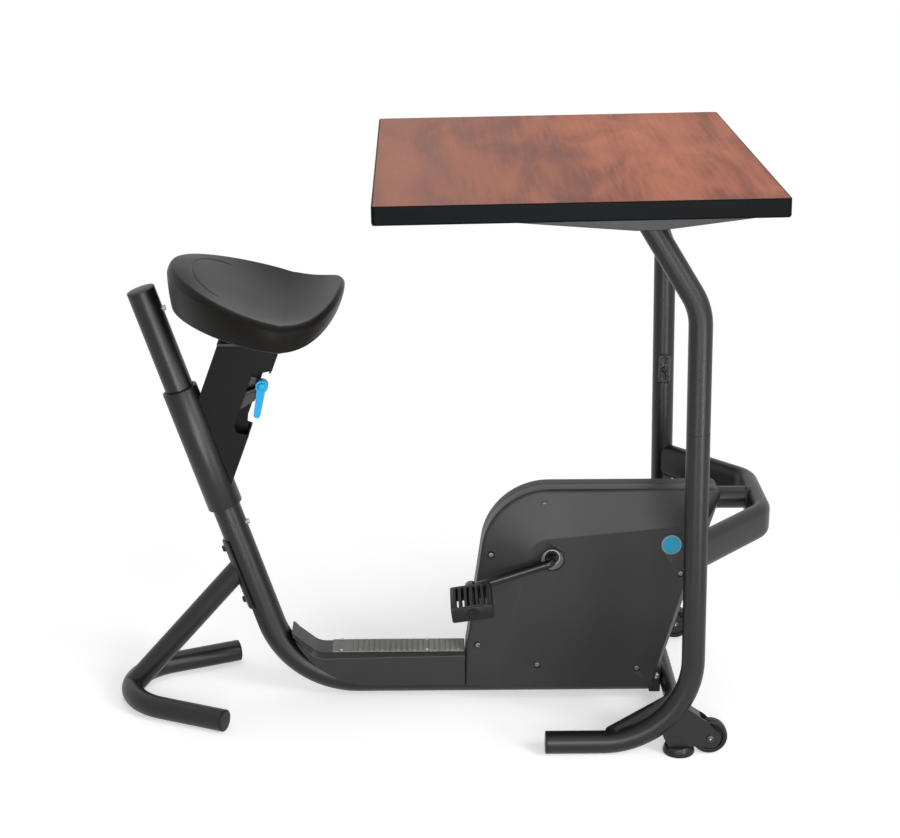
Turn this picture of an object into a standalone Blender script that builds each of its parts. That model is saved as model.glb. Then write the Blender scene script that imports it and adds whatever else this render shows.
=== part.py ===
"""A desk exercise bike: a bent spine with a sliding saddle, a drive housing with cranks, and a desk on two posts.

Metres. X points the way the rider faces, Y across the bike, Z up. Y = 0 is the middle plane and Z = 0 the floor.
The far side is at +Y and the near side at -Y. Every piece keeps GAP to its neighbours.
"""

import math

import bmesh
import bpy
from mathutils import Matrix, Vector

# Clearances
GAP = 0.0003
RUNNING_GAP = 0.0004

# Desktop
DESK_LENGTH = 0.6096
DESK_WIDTH = 0.762
DESK_THICK = 0.0286
DESK_TOP_Z = 0.9605
DESK_X = 0.2035
BAND_THICK = 0.0022
BAND_CORNER_R = 0.006

# Spine: a tube that leans back, bends near the floor and runs forward
SPINE_R = 0.024
SPINE_WALL = 0.0025
SPINE_FLOOR_CLEAR = 0.006
SPINE_LEAN = math.radians(18.5)
SPINE_CORNER_X = -0.2553
SPINE_BEND_R = 0.160
SPINE_LENGTH_UP = 0.7434
SPINE_FRONT_X = 0.3690

# Saddle carriage, measured along the spine from its corner
SLEEVE_START = 0.3448
SLEEVE_LENGTH = 0.2204
SLEEVE_R = 0.030
SLEEVE_WALL = 0.0027
BUSHING_LENGTH = 0.030
LOWER_STOP = 0.3044
UPPER_STOP = SPINE_LENGTH_UP - 0.0395
STOP_HEAD_R = 0.0062
STOP_HEAD_H = 0.006
STOP_SHANK_R = 0.004

# Saddle post, a flat box tube
POST_WIDTH = 0.100
POST_THICK = 0.032
POST_WALL = 0.003
POST_LEAN = math.radians(20.3)
POST_X = -0.338
POST_X_AT_Z = 0.580
POST_TOP_Z = 0.652

# Saddle
SEAT_PLATE = (0.106, 0.100, 0.005)
SEAT_LENGTH = 0.2975
SEAT_HALF_WIDTH = 0.1905
SEAT_X = -0.300
SEAT_RIM_Z = 0.700
SEAT_REAR_RISE = 0.0837
SEAT_NOSE_RISE = 0.0555
SEAT_DISH = 0.018
SEAT_POWER = 2.05

# Release lever and the plunger that it pulls
LEVER_PIVOT = (-0.296, 0.570)
LEVER_HEAD_R = 0.0105
LEVER_TAIL = (-0.3055, 0.5200)
LEVER_TAIL_R = 0.0058
LEVER_THICK = 0.016
LEVER_PIN_R = 0.0025
PLUNGER_FOOT = 0.522
PLUNGER_R = 0.004
PAD_R = 0.005
PAD_THICK = 0.001
PAD_GAP = 0.0006
BRACKET_THICK = 0.003

# Rear foot and strut
REAR_R = 0.01905
REAR_WALL = 0.002
REAR_END_X = -0.3668
REAR_HALF_SPREAD = 0.1416
REAR_ARM_ANGLE = math.radians(24)
REAR_BEND_R = 0.100
STRUT_R = 0.01905
STRUT_MEET = 0.2377
SADDLE_THICK = 0.004
SADDLE_START = 0.155
SADDLE_END = 0.285
CAP_THICK = 0.003
CAP_SPIGOT = 0.015

# Footrest over the spine
COVER_HALF_WIDTH = 0.0345
COVER_THICK = 0.0025
COVER_TOP_Z = 0.0905
COVER_REAR_X = -0.209
COVER_TIP = (-0.2555, 0.1275)
COVER_ARC_X = -0.1141
COVER_ARC_R = 0.149
TREAD_HALF_WIDTH = 0.026
TREAD_START_X = -0.186
TREAD_BASE = 0.002
TREAD_RIB = 0.001
TREAD_PITCH = 0.0095

# Drive housing
HOUSING_REAR_X = 0.046
HOUSING_WALL = 0.0025
RIM_HALF_WIDTH = 0.028
SILL_HALF_WIDTH = 0.0345
SIDE_HALF_WIDTH = 0.046
HOUSING_OPEN_Z = 0.030
HUB_HOLE_R = 0.0205
BADGE_AT = (0.397, 0.296)
BADGE_R = 0.0175
BADGE_DEPTH = 0.0012

# Drive
CRANK_AT = (0.194, 0.270)
CRANK_ANGLE = math.radians(195.2)
CRANK_LENGTH = 0.145
CRANK_R = 0.0075
CRANK_BEND_R = 0.016
CRANK_BEND_Y = 0.060
CRANK_END_Y = 0.079
EYE_R = 0.011
EYE_HALF_LENGTH = 0.009
PULLEY_R = 0.0950
PULLEY_GROOVE_R = 0.0915
BELT_WIDTH = 0.008
BELT_THICK = 0.0025
BELT_Y = 0.010
FLANGE_THICK = 0.0017
FLYWHEEL_AT = (0.332, 0.200)
FLYWHEEL_R = 0.085
FLYWHEEL_THICK = 0.018
FLYWHEEL_Y = -0.013
SMALL_PULLEY_R = 0.020
SMALL_GROOVE_R = 0.0165
SHAFT_R = 0.008
SHAFT_HALF_LENGTH = 0.0345
DRIVE_PLATE_Y = 0.027
DRIVE_PLATE_THICK = 0.003
CRANK_BEARING_R = 0.0172
FLYWHEEL_BEARING_R = 0.013
BEARING_LENGTH = 0.008

# Pedals
PEDAL_LENGTH = 0.070
PEDAL_WIDTH = 0.0946
PEDAL_THICK = 0.025
PEDAL_TILT = math.radians(-8)
PEDAL_SPINDLE_R = 0.0055
PEDAL_FLANGE_R = 0.009
PEDAL_FLANGE = 0.003
PEDAL_SLOTS = 6
PEDAL_SLOT = 0.005
PEDAL_PITCH = 0.010

# Posts and their feet
LEG_R = 0.01905
LEG_WALL = 0.002
LEG_Y = 0.231
LEG_FOOT_END_X = 0.177
LEG_X_AT_FLOOR = 0.4172
LEG_BEND_R = 0.146
LEG_LEAN = 0.0176
LEG_JOINT_Z = 0.559
LEG_KNEE_Z = DESK_TOP_Z - 0.1995
LEG_KNEE_R = 0.100
LEG_KNEE_ANGLE = math.radians(31.7)
LEG_TOP_Z = DESK_TOP_Z - DESK_THICK - 0.0146
COUPLER_WALL = 0.003
COUPLER_LENGTH = 0.100
JOINT_PLATE = (0.022, 0.052, 0.005)
JOINT_PLATE_Z = 0.5318

# Hoops of flat oval tube, and the stub between the housing and the upper one
UPPER_OVAL_HALF_THICK = 0.015
LOWER_OVAL_HALF_THICK = 0.0125
OVAL_WALL = 0.002
UPPER_OVAL_HALF_HEIGHT = 0.030
UPPER_HOOP_Z = 0.356
UPPER_NOSE_X = 0.543
UPPER_CORNER_Y = 0.0817
UPPER_BEND_R = 0.055
LOWER_OVAL_HALF_HEIGHT = 0.017
LOWER_HOOP_Z = 0.030
LOWER_NOSE_X = 0.402
LOWER_START_X = 0.283
LOWER_CORNER_Y = 0.1056
LOWER_BEND_R = 0.060
STUB_Z = 0.3655
STUB_R = 0.01905
STUB_WALL = 0.002
STUB_START_X = 0.378

# Bracket between the spine's front end and the lower hoop
BRACKET_HALF_WIDTH = 0.026
BRACKET_WALL = 0.004
BRACKET_Z = (0.010, 0.058)

# Desk rails: upside-down channels that take the posts' tops
RAIL_WALL = 0.0025
RAIL_WEB = 0.003
RAIL_START_X = -0.030
RAIL_END_X = 0.480
RAIL_DEPTH_START = 0.015
RAIL_DEPTH_POST = 0.044
RAIL_DEPTH_END = 0.0276
RAIL_DEEP_X = (0.296, 0.335)

# Wheels, their brackets and the rubber feet
WHEEL_R = 0.0295
WHEEL_HALF_WIDTH = 0.0095
WHEEL_AT = (0.446, 0.0305)
WHEEL_PLATE_Y = 0.0115
WHEEL_PLATE_THICK = 0.003
WHEEL_EYE_R = 0.0175
AXLE_R = 0.004
RUBBER_R = 0.0265
RUBBER_X = 0.396
RUBBER_H = 0.0163

TUBE_SIDES = 16
TURN_SIDES = 24
ARC_STEP = math.radians(18)

PARTS = "desk exercise bike"
CUTTERS = "cutters"

LOOKS = {
    "satin_black": ((0.030, 0.031, 0.033), 0.35, 0.42),
    "moulded_black": ((0.045, 0.044, 0.044), 0.0, 0.55),
    "vinyl": ((0.040, 0.039, 0.037), 0.0, 0.50),
    "rubber": ((0.018, 0.018, 0.018), 0.0, 0.85),
    "tread_grey": ((0.120, 0.118, 0.115), 0.0, 0.70),
    "steel": ((0.480, 0.480, 0.490), 1.0, 0.35),
    "cast_iron": ((0.160, 0.160, 0.165), 0.9, 0.55),
    "blue": ((0.020, 0.370, 0.900), 0.0, 0.35),
    "teal": ((0.020, 0.330, 0.560), 0.0, 0.35),
    "cherry": ((0.330, 0.110, 0.060), 0.0, 0.40),
    "edge_black": ((0.020, 0.021, 0.024), 0.0, 0.50),
    "nylon": ((0.600, 0.600, 0.580), 0.0, 0.50),
}


def clear_scene():
    """Remove every object, and make the two collections."""
    for obj in list(bpy.data.objects):
        bpy.data.objects.remove(obj, do_unlink=True)
    for name in (PARTS, CUTTERS):
        bpy.context.scene.collection.children.link(bpy.data.collections.new(name))


def put(obj, collection=CUTTERS):
    """Link an object to one of the two collections, and mark a cutter as one."""
    bpy.data.collections[collection].objects.link(obj)
    obj.hide_render = collection == CUTTERS
    obj.display_type = "WIRE" if collection == CUTTERS else "TEXTURED"
    return obj


def as_part(obj, name, look):
    """Name a piece, give it its own material and move it to the parts."""
    colour, metallic, roughness = LOOKS[look]
    material = bpy.data.materials.new(name)
    material.use_nodes = True
    surface = material.node_tree.nodes["Principled BSDF"]
    surface.inputs["Base Color"].default_value = (*colour, 1.0)
    surface.inputs["Metallic"].default_value = metallic
    surface.inputs["Roughness"].default_value = roughness
    obj.name = name
    obj.data.name = name
    obj.data.materials.clear()
    obj.data.materials.append(material)
    obj.data.shade_smooth()
    obj.data.set_sharp_from_angle(angle=math.radians(35))
    for collection in list(obj.users_collection):
        collection.objects.unlink(obj)
    return put(obj, PARTS)


def mesh_object(name, mesh_data):
    """A cutter object from a bmesh, with its faces pointing out."""
    bmesh.ops.recalc_face_normals(mesh_data, faces=mesh_data.faces)
    mesh = bpy.data.meshes.new(name)
    mesh_data.to_mesh(mesh)
    mesh_data.free()
    return put(bpy.data.objects.new(name, mesh))


def frozen(obj, name=None):
    """The object as it evaluates, as a plain welded mesh. The first one is removed."""
    graph = bpy.context.evaluated_depsgraph_get()
    graph.update()
    mesh = bpy.data.meshes.new_from_object(obj.evaluated_get(graph))
    welded = bmesh.new()
    welded.from_mesh(mesh)
    bmesh.ops.remove_doubles(welded, verts=welded.verts, dist=1e-6)
    placed = mesh_object(name or obj.name, welded)
    placed.matrix_world = obj.matrix_world.copy()
    bpy.data.objects.remove(obj, do_unlink=True)
    return placed


def box(name, low, high):
    """A box between two corners."""
    shape = bmesh.new()
    bmesh.ops.create_cube(shape, size=1.0)
    low, high = Vector(low), Vector(high)
    size = high - low
    bmesh.ops.scale(shape, vec=size, verts=shape.verts)
    bmesh.ops.translate(shape, vec=(low + high) / 2, verts=shape.verts)
    return mesh_object(name, shape)


def rod(name, start, end, radius, sides=TURN_SIDES):
    """A round bar between two points."""
    start, end = Vector(start), Vector(end)
    shape = bmesh.new()
    bmesh.ops.create_cone(
        shape, cap_ends=True, segments=sides, radius1=radius, radius2=radius, depth=(end - start).length
    )
    obj = mesh_object(name, shape)
    obj.matrix_world = aligned((start + end) / 2, end - start)
    return obj


def aligned(at, along):
    """A placement at a point, with local Z along a direction."""
    turn = Vector(along).normalized().to_track_quat("Z", "Y")
    return Matrix.Translation(Vector(at)) @ turn.to_matrix().to_4x4()


def turned(name, profile, at, along, sides=TURN_SIDES):
    """A turned piece. The profile is (radius, height) points that run down its outer side."""
    closed = profile[0][0] > 0
    shape = bmesh.new()
    points = [shape.verts.new((radius, 0.0, height)) for radius, height in profile]
    for first, second in zip(points, points[1:] + points[:1] if closed else points[1:]):
        shape.edges.new((first, second))
    mesh = bpy.data.meshes.new(name)
    shape.to_mesh(mesh)
    shape.free()
    obj = put(bpy.data.objects.new(name, mesh))
    obj.matrix_world = aligned(at, along)
    screw = obj.modifiers.new("turn", "SCREW")
    screw.steps = screw.render_steps = sides
    screw.use_merge_vertices = True
    screw.merge_threshold = 0.00001
    return frozen(obj)


def ring(name, outer, inner, at, along, length, sides=TURN_SIDES):
    """A plain tube of this length that starts at a point."""
    profile = [(outer, length), (outer, 0.0), (inner, 0.0), (inner, length)]
    return turned(name, profile, at, along, sides)


def filleted(corners, radii):
    """The points of a polyline whose inner corners are rounded."""
    corners = [Vector(corner) for corner in corners]
    points = [corners[0]]
    for before, corner, after, radius in zip(corners, corners[1:], corners[2:], radii):
        points += corner_arc(before, corner, after, radius)
    return points + [corners[-1]]


def corner_arc(before, corner, after, radius):
    """Points of the arc that rounds one corner."""
    into, out = (corner - before).normalized(), (after - corner).normalized()
    turn = into.angle(out)
    reach = radius * math.tan(turn / 2)
    centre = corner + (out - into).normalized() * radius / math.cos(turn / 2)
    start = corner - into * reach - centre
    axis = into.cross(out).normalized()
    steps = max(1, math.ceil(turn / ARC_STEP - 1e-6))
    return [centre + Matrix.Rotation(turn * k / steps, 3, axis) @ start for k in range(steps + 1)]


def bar(name, points, radius, sides=TUBE_SIDES):
    """A solid round bar along points, as a mesh."""
    curve = poly_curve(name, points)
    curve.bevel_depth = radius
    curve.bevel_resolution = (sides - 4) // 2
    return frozen(put(bpy.data.objects.new(name, curve)))


def poly_curve(name, points, cyclic=False):
    """A curve through points, with filled caps."""
    curve = bpy.data.curves.new(name, "CURVE")
    curve.dimensions = "3D"
    curve.use_fill_caps = not cyclic
    spline = curve.splines.new("POLY")
    spline.points.add(len(points) - 1)
    for place, point in zip(spline.points, points):
        place.co = (*point, 1.0)
    spline.use_cyclic_u = cyclic
    return curve


def oval_bar(name, points, half_thick, half_height):
    """A solid bar of upright flat oval section along level points."""
    flat = half_height - half_thick
    steps = 5
    outline = []
    for side in (1, -1):
        for k in range(steps + 1):
            angle = math.pi * k / steps
            outline.append((side * half_thick * math.cos(angle), side * (flat + half_thick * math.sin(angle)), 0))
    section = put(bpy.data.objects.new(name + "_section", poly_curve(name + "_section", outline, cyclic=True)))
    section.data.dimensions = "2D"
    section.data.fill_mode = "NONE"
    curve = poly_curve(name, points)
    curve.twist_mode = "Z_UP"
    curve.bevel_mode = "OBJECT"
    curve.bevel_object = section
    made = frozen(put(bpy.data.objects.new(name, curve)))
    bpy.data.objects.remove(section, do_unlink=True)
    return made


def slab(name, outlines, low, high, upright=True):
    """Flat outlines, the first one outer and the others holes, given thickness along Y, or along Z when not upright."""
    curve = bpy.data.curves.new(name, "CURVE")
    curve.dimensions = "2D"
    curve.fill_mode = "BOTH"
    curve.extrude = (high - low) / 2
    for outline in outlines:
        spline = curve.splines.new("POLY")
        spline.points.add(len(outline) - 1)
        for place, point in zip(spline.points, outline):
            place.co = (point[0], point[1], 0.0, 1.0)
        spline.use_cyclic_u = True
    obj = put(bpy.data.objects.new(name, curve))
    middle = (low + high) / 2
    if upright:
        obj.matrix_world = Matrix.Translation((0, middle, 0)) @ Matrix.Rotation(math.pi / 2, 4, "X")
    else:
        obj.matrix_world = Matrix.Translation((0, 0, middle))
    bpy.context.view_layer.update()
    return frozen(obj)


def rounded(corners, radii):
    """A closed outline with rounded corners, as (x, y) points. A radius of 0 keeps a corner."""
    corners = [Vector((*corner, 0.0)) for corner in corners]
    count = len(corners)
    outline = []
    for k, radius in enumerate(radii):
        if radius:
            outline += corner_arc(corners[k - 1], corners[k], corners[(k + 1) % count], radius)
        else:
            outline.append(corners[k])
    return [(point.x, point.y) for point in outline]


def circle(centre, radius, start, end, step=ARC_STEP):
    """Points of an arc from one angle to another."""
    steps = max(1, math.ceil(abs(end - start) / step - 1e-6))
    angles = [start + (end - start) * k / steps for k in range(steps + 1)]
    return [(centre[0] + radius * math.cos(a), centre[1] + radius * math.sin(a)) for a in angles]


def combine(obj, operation, others):
    """One Boolean of an object with others, applied. The others are removed."""
    name = obj.name
    operands = bpy.data.collections.new("operands")
    bpy.data.collections[CUTTERS].children.link(operands)
    for other in others:
        operands.objects.link(other)
    modifier = obj.modifiers.new(operation.lower(), "BOOLEAN")
    modifier.operation = operation
    modifier.operand_type = "COLLECTION"
    modifier.collection = operands
    modifier.solver = "EXACT"
    made = frozen(obj, name)
    for other in others:
        bpy.data.objects.remove(other, do_unlink=True)
    bpy.data.collections.remove(operands)
    return made


def cut(obj, *others):
    """Cut others out of an object."""
    return combine(obj, "DIFFERENCE", others)


def fuse(obj, *others):
    """Join others to an object as one solid, one at a time."""
    for other in others:
        obj = combine(obj, "UNION", [other])
    return obj


def pivoted(obj, point):
    """Move an object's origin to a point without moving its shape."""
    shift = Matrix.Translation(Vector(point))
    obj.data.transform(shift.inverted() @ obj.matrix_world)
    obj.matrix_world = shift
    return obj


def pin(name, at, along, head_r, head_h, shank_r, shank_l):
    """A headed pin. The head's underside is at a point, and the shank runs along a direction."""
    profile = [(0, shank_l), (shank_r, shank_l), (shank_r, 0), (head_r, 0), (head_r, -head_h * 0.6)]
    profile += [(head_r * 0.8, -head_h), (0, -head_h)]
    return turned(name, profile, at, along, sides=16)


SPINE_Z = SPINE_FLOOR_CLEAR + SPINE_R
SPINE_UP = Vector((-math.sin(SPINE_LEAN), 0, math.cos(SPINE_LEAN)))
SPINE_FRONT = Vector((math.cos(SPINE_LEAN), 0, math.sin(SPINE_LEAN)))
SPINE_CORNER = Vector((SPINE_CORNER_X, 0, SPINE_Z))


def on_spine(up, out=0.0):
    """A point along the spine's leaning axis, and this far in front of it."""
    return SPINE_CORNER + SPINE_UP * up + SPINE_FRONT * out


def spine_points(extra=0.0):
    """The spine's centre line, each end longer by an extra."""
    top = on_spine(SPINE_LENGTH_UP + extra)
    front = Vector((SPINE_FRONT_X + extra, 0, SPINE_Z))
    return filleted([top, SPINE_CORNER, front], [SPINE_BEND_R])


def make_spine():
    """The main tube with its plug, and the bolts that stop the saddle's sleeve."""
    tube = bar("spine_tube", spine_points(), SPINE_R)
    inner = bar("spine_bore", spine_points(0.01), SPINE_R - SPINE_WALL)
    holes = [
        rod(f"stop_hole_{k}", on_spine(up, SPINE_R - 0.008), on_spine(up, SPINE_R + 0.008), STOP_SHANK_R + GAP, 16)
        for k, up in enumerate((LOWER_STOP, UPPER_STOP))
    ]
    as_part(cut(tube, inner, *holes), "main_frame_tube", "satin_black")
    cap = plug("cap", on_spine(SPINE_LENGTH_UP + GAP), -SPINE_UP, SPINE_R, SPINE_WALL)
    as_part(cap, "frame_top_cap", "moulded_black")
    for name, up in (("stop_bolt_lower", LOWER_STOP), ("stop_bolt_upper", UPPER_STOP)):
        head_at = on_spine(up, SPINE_R + GAP)
        as_part(pin("bolt", head_at, -SPINE_FRONT, STOP_HEAD_R, STOP_HEAD_H, STOP_SHANK_R, 0.007), name, "steel")


def plug(name, at, inward, radius, wall):
    """A round end plug: a disc outside the tube's end and a spigot inside it."""
    spigot = (radius - wall) * math.cos(math.pi / TUBE_SIDES) - GAP
    profile = [(0, CAP_SPIGOT), (spigot, CAP_SPIGOT), (spigot, 0), (radius, 0)]
    profile += [(radius - CAP_THICK * 0.4, -CAP_THICK), (0, -CAP_THICK)]
    return turned(name, profile, at, inward, sides=TUBE_SIDES)


def carriage_origin():
    """The point on the spine's axis in the middle of the sleeve."""
    return on_spine(SLEEVE_START + SLEEVE_LENGTH / 2)


def make_sleeve():
    """The sleeve that slides on the spine, and its two bushings."""
    bore = SLEEVE_R - SLEEVE_WALL
    sleeve = ring("sleeve", SLEEVE_R, bore, on_spine(SLEEVE_START), SPINE_UP, SLEEVE_LENGTH)
    hole = rod("plunger_hole", plunger_at(SLEEVE_R - 0.01), plunger_at(SLEEVE_R + 0.01), PLUNGER_R + GAP, 16)
    as_part(cut(pivoted(sleeve, carriage_origin()), hole), "seat_sleeve", "satin_black")
    upper_start = SLEEVE_START + SLEEVE_LENGTH - BUSHING_LENGTH
    for name, start in (("sleeve_bushing_lower", SLEEVE_START), ("sleeve_bushing_upper", upper_start)):
        bushing = ring("bushing", bore - GAP, SPINE_R + RUNNING_GAP, on_spine(start), SPINE_UP, BUSHING_LENGTH)
        as_part(pivoted(bushing, carriage_origin()), name, "nylon")


def post_x(z, side=0.0):
    """X of the saddle post's middle at a height, or of an edge this far to its side, square to the post."""
    return POST_X + (z - POST_X_AT_Z) * math.tan(POST_LEAN) + side / math.cos(POST_LEAN)


def post_foot(side):
    """Where a line along the post meets the spine's axis, as (x, z)."""
    lean, back = math.tan(POST_LEAN), math.tan(SPINE_LEAN)
    z = (SPINE_CORNER_X + SPINE_Z * back - post_x(0, side)) / (lean + back)
    return (post_x(z, side), z)


def post_outline(half_width, top_z):
    """The post's outline from its top down to the spine's axis."""
    left, right = post_foot(-half_width), post_foot(half_width)
    return [(post_x(top_z, -half_width), top_z), left, right, (post_x(top_z, half_width), top_z)]


def notch_outline(depth, top_z, low_z):
    """The opening in the post's front edge that the lever sits in, this deep square to the edge."""
    edge = POST_WIDTH / 2
    return [
        (post_x(top_z, edge + 0.02), top_z + 0.007),
        (post_x(top_z, edge - depth), top_z),
        (post_x(low_z + 0.012, edge - depth), low_z + 0.012),
        (post_x(low_z, edge - depth * 0.75), low_z),
        (post_x(low_z - 0.016, edge + 0.02), low_z - 0.010),
    ]


def make_saddle_post():
    """The flat box tube that carries the saddle, notched for the lever and cut to the sleeve."""
    half = POST_WIDTH / 2
    post = slab("post", [post_outline(half, POST_TOP_Z)], -POST_THICK / 2, POST_THICK / 2)
    inner = POST_THICK / 2 - POST_WALL
    bore = slab("post_bore", [post_outline(half - POST_WALL, POST_TOP_Z + 0.01)], -inner, inner)
    seat = rod("sleeve_space", on_spine(SLEEVE_START - 0.08), on_spine(SLEEVE_START + 0.32), SLEEVE_R + GAP, 48)
    near = slab("near_notch", [notch_outline(0.0290, 0.595, 0.492)], -POST_THICK, 0)
    far = slab("far_notch", [notch_outline(0.0125, 0.588, 0.503)], 0, POST_THICK)
    as_part(cut(pivoted(post, carriage_origin()), bore, seat, near, far), "seat_post", "satin_black")


def plunger_at(out):
    """A point on the plunger's line, this far in front of the spine's axis."""
    return on_spine(PLUNGER_FOOT, out)


def lever_out():
    """How far in front of the spine's axis the plunger's line passes the lever's pivot."""
    pivot = Vector((LEVER_PIVOT[0], 0, LEVER_PIVOT[1]))
    return (pivot - SPINE_CORNER).dot(SPINE_FRONT)


def make_lever():
    """The release lever with its bracket and pin, and the plunger whose pad grips the spine."""
    x, z = LEVER_PIVOT
    tail = Vector((LEVER_TAIL[0] - x, LEVER_TAIL[1] - z))
    heading = math.atan2(tail.y, tail.x)
    head = circle(LEVER_PIVOT, LEVER_HEAD_R, heading + 0.75, heading + 2 * math.pi - 0.75)
    end = circle(LEVER_TAIL, LEVER_TAIL_R, heading - math.pi / 2, heading + math.pi / 2)
    half = LEVER_THICK / 2
    lever = slab("lever", [head + end], -half, half)
    slot = slab("lever_slot", [circle(LEVER_PIVOT, 0.02, 1.85, 4.75) + [LEVER_PIVOT]], -0.003, 0.003)
    bore = rod("lever_bore", (x, -0.02, z), (x, 0.02, z), LEVER_PIN_R + GAP, 16)
    as_part(cut(pivoted(lever, (x, 0, z)), slot, bore), "release_lever", "blue")
    low = POST_THICK / 2 - POST_WALL - GAP - BRACKET_THICK
    high = low + BRACKET_THICK
    ear = circle(LEVER_PIVOT, 0.008, -1.9, 1.6)
    outline = [(x - 0.022, z + 0.014), (x - 0.050, z - 0.052), (x - 0.030, z - 0.040), (x - 0.014, z - 0.030)]
    bracket = slab("bracket", [outline + ear], low, high)
    hole = rod("bracket_hole", (x, low - 0.01, z), (x, high + 0.01, z), LEVER_PIN_R + GAP, 16)
    as_part(cut(pivoted(bracket, carriage_origin()), hole), "lever_bracket", "satin_black")
    shank = half + GAP + BRACKET_THICK + 0.0005 + half
    pivot = pin("pivot", (x, -half - GAP, z), (0, 1, 0), 0.005, 0.0015, LEVER_PIN_R, shank)
    as_part(pivoted(pivot, carriage_origin()), "lever_pin", "steel")
    make_plunger()


def make_plunger():
    """The pad, its rod through the sleeve and the tongue that the lever draws out."""
    start = SPINE_R + PAD_GAP
    end = lever_out() - 0.0135
    profile = [(0, end - start), (PLUNGER_R, end - start), (PLUNGER_R, PAD_THICK), (PAD_R, PAD_THICK), (PAD_R, 0), (0, 0)]
    plunger = turned("plunger", profile, plunger_at(start), SPINE_FRONT, sides=16)
    tongue = box("tongue", (-0.0015, -0.0022, -0.004), (0.0015, 0.0022, 0.0095))
    tongue.matrix_world = aligned(plunger_at(end), SPINE_FRONT)
    made = fuse(plunger, tongue)
    as_part(pivoted(made, plunger_at(start)), "lock_plunger", "steel")


def make_seat_plate():
    """The plate on the post's top that carries the saddle."""
    length, width, thick = SEAT_PLATE
    x, low = post_x(POST_TOP_Z), POST_TOP_Z + GAP
    plate = box("plate", (x - length / 2, -width / 2, low), (x + length / 2, width / 2, low + thick))
    as_part(pivoted(plate, carriage_origin()), "seat_plate", "satin_black")


def seat_outline(angle):
    """A point of the saddle's plan outline, as shares of its half length and half width."""
    power = 2 / SEAT_POWER
    along = math.copysign(abs(math.cos(angle)) ** power, math.cos(angle))
    across = math.copysign(abs(math.sin(angle)) ** power, math.sin(angle)) * (1 + 0.177 * along)
    return along, across


def seat_rim_z(along, across):
    """The rim's height: high behind, low at the thighs, and up again at the nose."""
    rear = SEAT_REAR_RISE * ((1 - along) / 2) ** 1.1
    nose = SEAT_NOSE_RISE * max(0.0, along) ** 2.2 * max(0.0, 1 - across**2) ** 0.34
    return SEAT_RIM_Z + rear + nose


def make_cushion():
    """The moulded saddle: a dished top, steep sides, and a base drawn in to its plate."""
    bottom = POST_TOP_Z + GAP + SEAT_PLATE[2] + GAP
    around = 16
    dish = [(0.25, 0.0), (0.50, 0.0), (0.74, 0.0), (0.93, 0.002), (0.995, -0.004)]
    sides = [(1.0, 0.34, 0.0), (0.99, 0.66, 0.0), (0.968, 0.95, 0.0), (0.93, 1.0, 0.05), (0.74, 1.0, 0.75), (0.55, 1.0, 1.0)]
    shape = bmesh.new()
    rings = []
    for share, lift in dish:
        rings.append([shape.verts.new(seat_top_point(2 * math.pi * k / around, share, lift)) for k in range(around)])
    for share, depth, low in sides:
        loop = []
        for k in range(around):
            along, across = seat_outline(2 * math.pi * k / around)
            wall = seat_rim_z(along, across) - depth * (0.0365 + 0.0225 * (1 - along) / 2)
            z = wall + (bottom - wall) * low
            loop.append(shape.verts.new(seat_place(along * share, across * share, z)))
        rings.append(loop)
    for first, second in zip(rings, rings[1:]):
        for k in range(around):
            shape.faces.new((first[k], first[k - 1], second[k - 1], second[k]))
    for loop, z in ((rings[0], seat_top_z(0.0, 0.0)), (rings[-1], bottom)):
        pole = shape.verts.new(seat_place(0.0, 0.0, z))
        for k in range(around):
            shape.faces.new((loop[k - 1], loop[k], pole))
    cushion = mesh_object("cushion", shape)
    smooth = cushion.modifiers.new("smooth", "SUBSURF")
    smooth.levels = smooth.render_levels = 1
    cushion = frozen(cushion)
    as_part(pivoted(cushion, carriage_origin()), "seat_cushion", "vinyl")


def seat_place(along, across, z):
    """A point of the saddle from shares of its half length and half width."""
    return Vector((SEAT_X + along * SEAT_LENGTH / 2, across * SEAT_HALF_WIDTH, z))


def seat_top_z(along, across):
    """The top's height: level with the rim at both sides, and dished along the middle, most toward the thighs."""
    edge = max(1e-6, 1 - abs(along) ** SEAT_POWER) ** (1 / SEAT_POWER) * (1 + 0.177 * along)
    dish = (1 - along**2) * (SEAT_DISH + 0.020 * along - 0.0427 * along**2)
    return seat_rim_z(along, edge) - dish * (1 - min(1.0, abs(across) / edge) ** 2.4)


def seat_top_point(angle, share, lift):
    """A point of the saddle's top, at a share of the way out to the rim and lifted by this much."""
    along, across = (part * share for part in seat_outline(angle))
    return seat_place(along, across, seat_top_z(along, across) + lift)


def rear_foot_points(extra=0.0):
    """The V of the rear foot, seen from above, with its ends longer by an extra."""
    reach = REAR_HALF_SPREAD / math.tan(REAR_ARM_ANGLE)
    corner = Vector((REAR_END_X - reach - REAR_BEND_R * 0, 0, REAR_R))
    step = Vector((math.cos(REAR_ARM_ANGLE), math.sin(REAR_ARM_ANGLE), 0)) * extra
    far = Vector((REAR_END_X, REAR_HALF_SPREAD, REAR_R)) + step
    near = Vector((far.x, -far.y, far.z))
    return filleted([near, corner, far], [REAR_BEND_R])


def rear_apex():
    """The point of the rear foot's centre line that is furthest back."""
    return min(rear_foot_points(), key=lambda point: point.x)


def make_rear_foot():
    """The V-shaped foot tube and its plugs, and the strut up to the spine with its curved plate."""
    foot = bar("rear_foot", rear_foot_points(), REAR_R)
    bore = bar("rear_bore", rear_foot_points(0.01), REAR_R - REAR_WALL)
    as_part(cut(foot, bore), "rear_foot_tube", "satin_black")
    for name, side in (("near", -1), ("far", 1)):
        out = Vector((math.cos(REAR_ARM_ANGLE), side * math.sin(REAR_ARM_ANGLE), 0))
        end = Vector((REAR_END_X, side * REAR_HALF_SPREAD, REAR_R))
        cap = plug("plug", end + out * GAP, -out, REAR_R, REAR_WALL)
        as_part(cap, f"rear_foot_cap_{name}", "moulded_black")
    make_strut()


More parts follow.
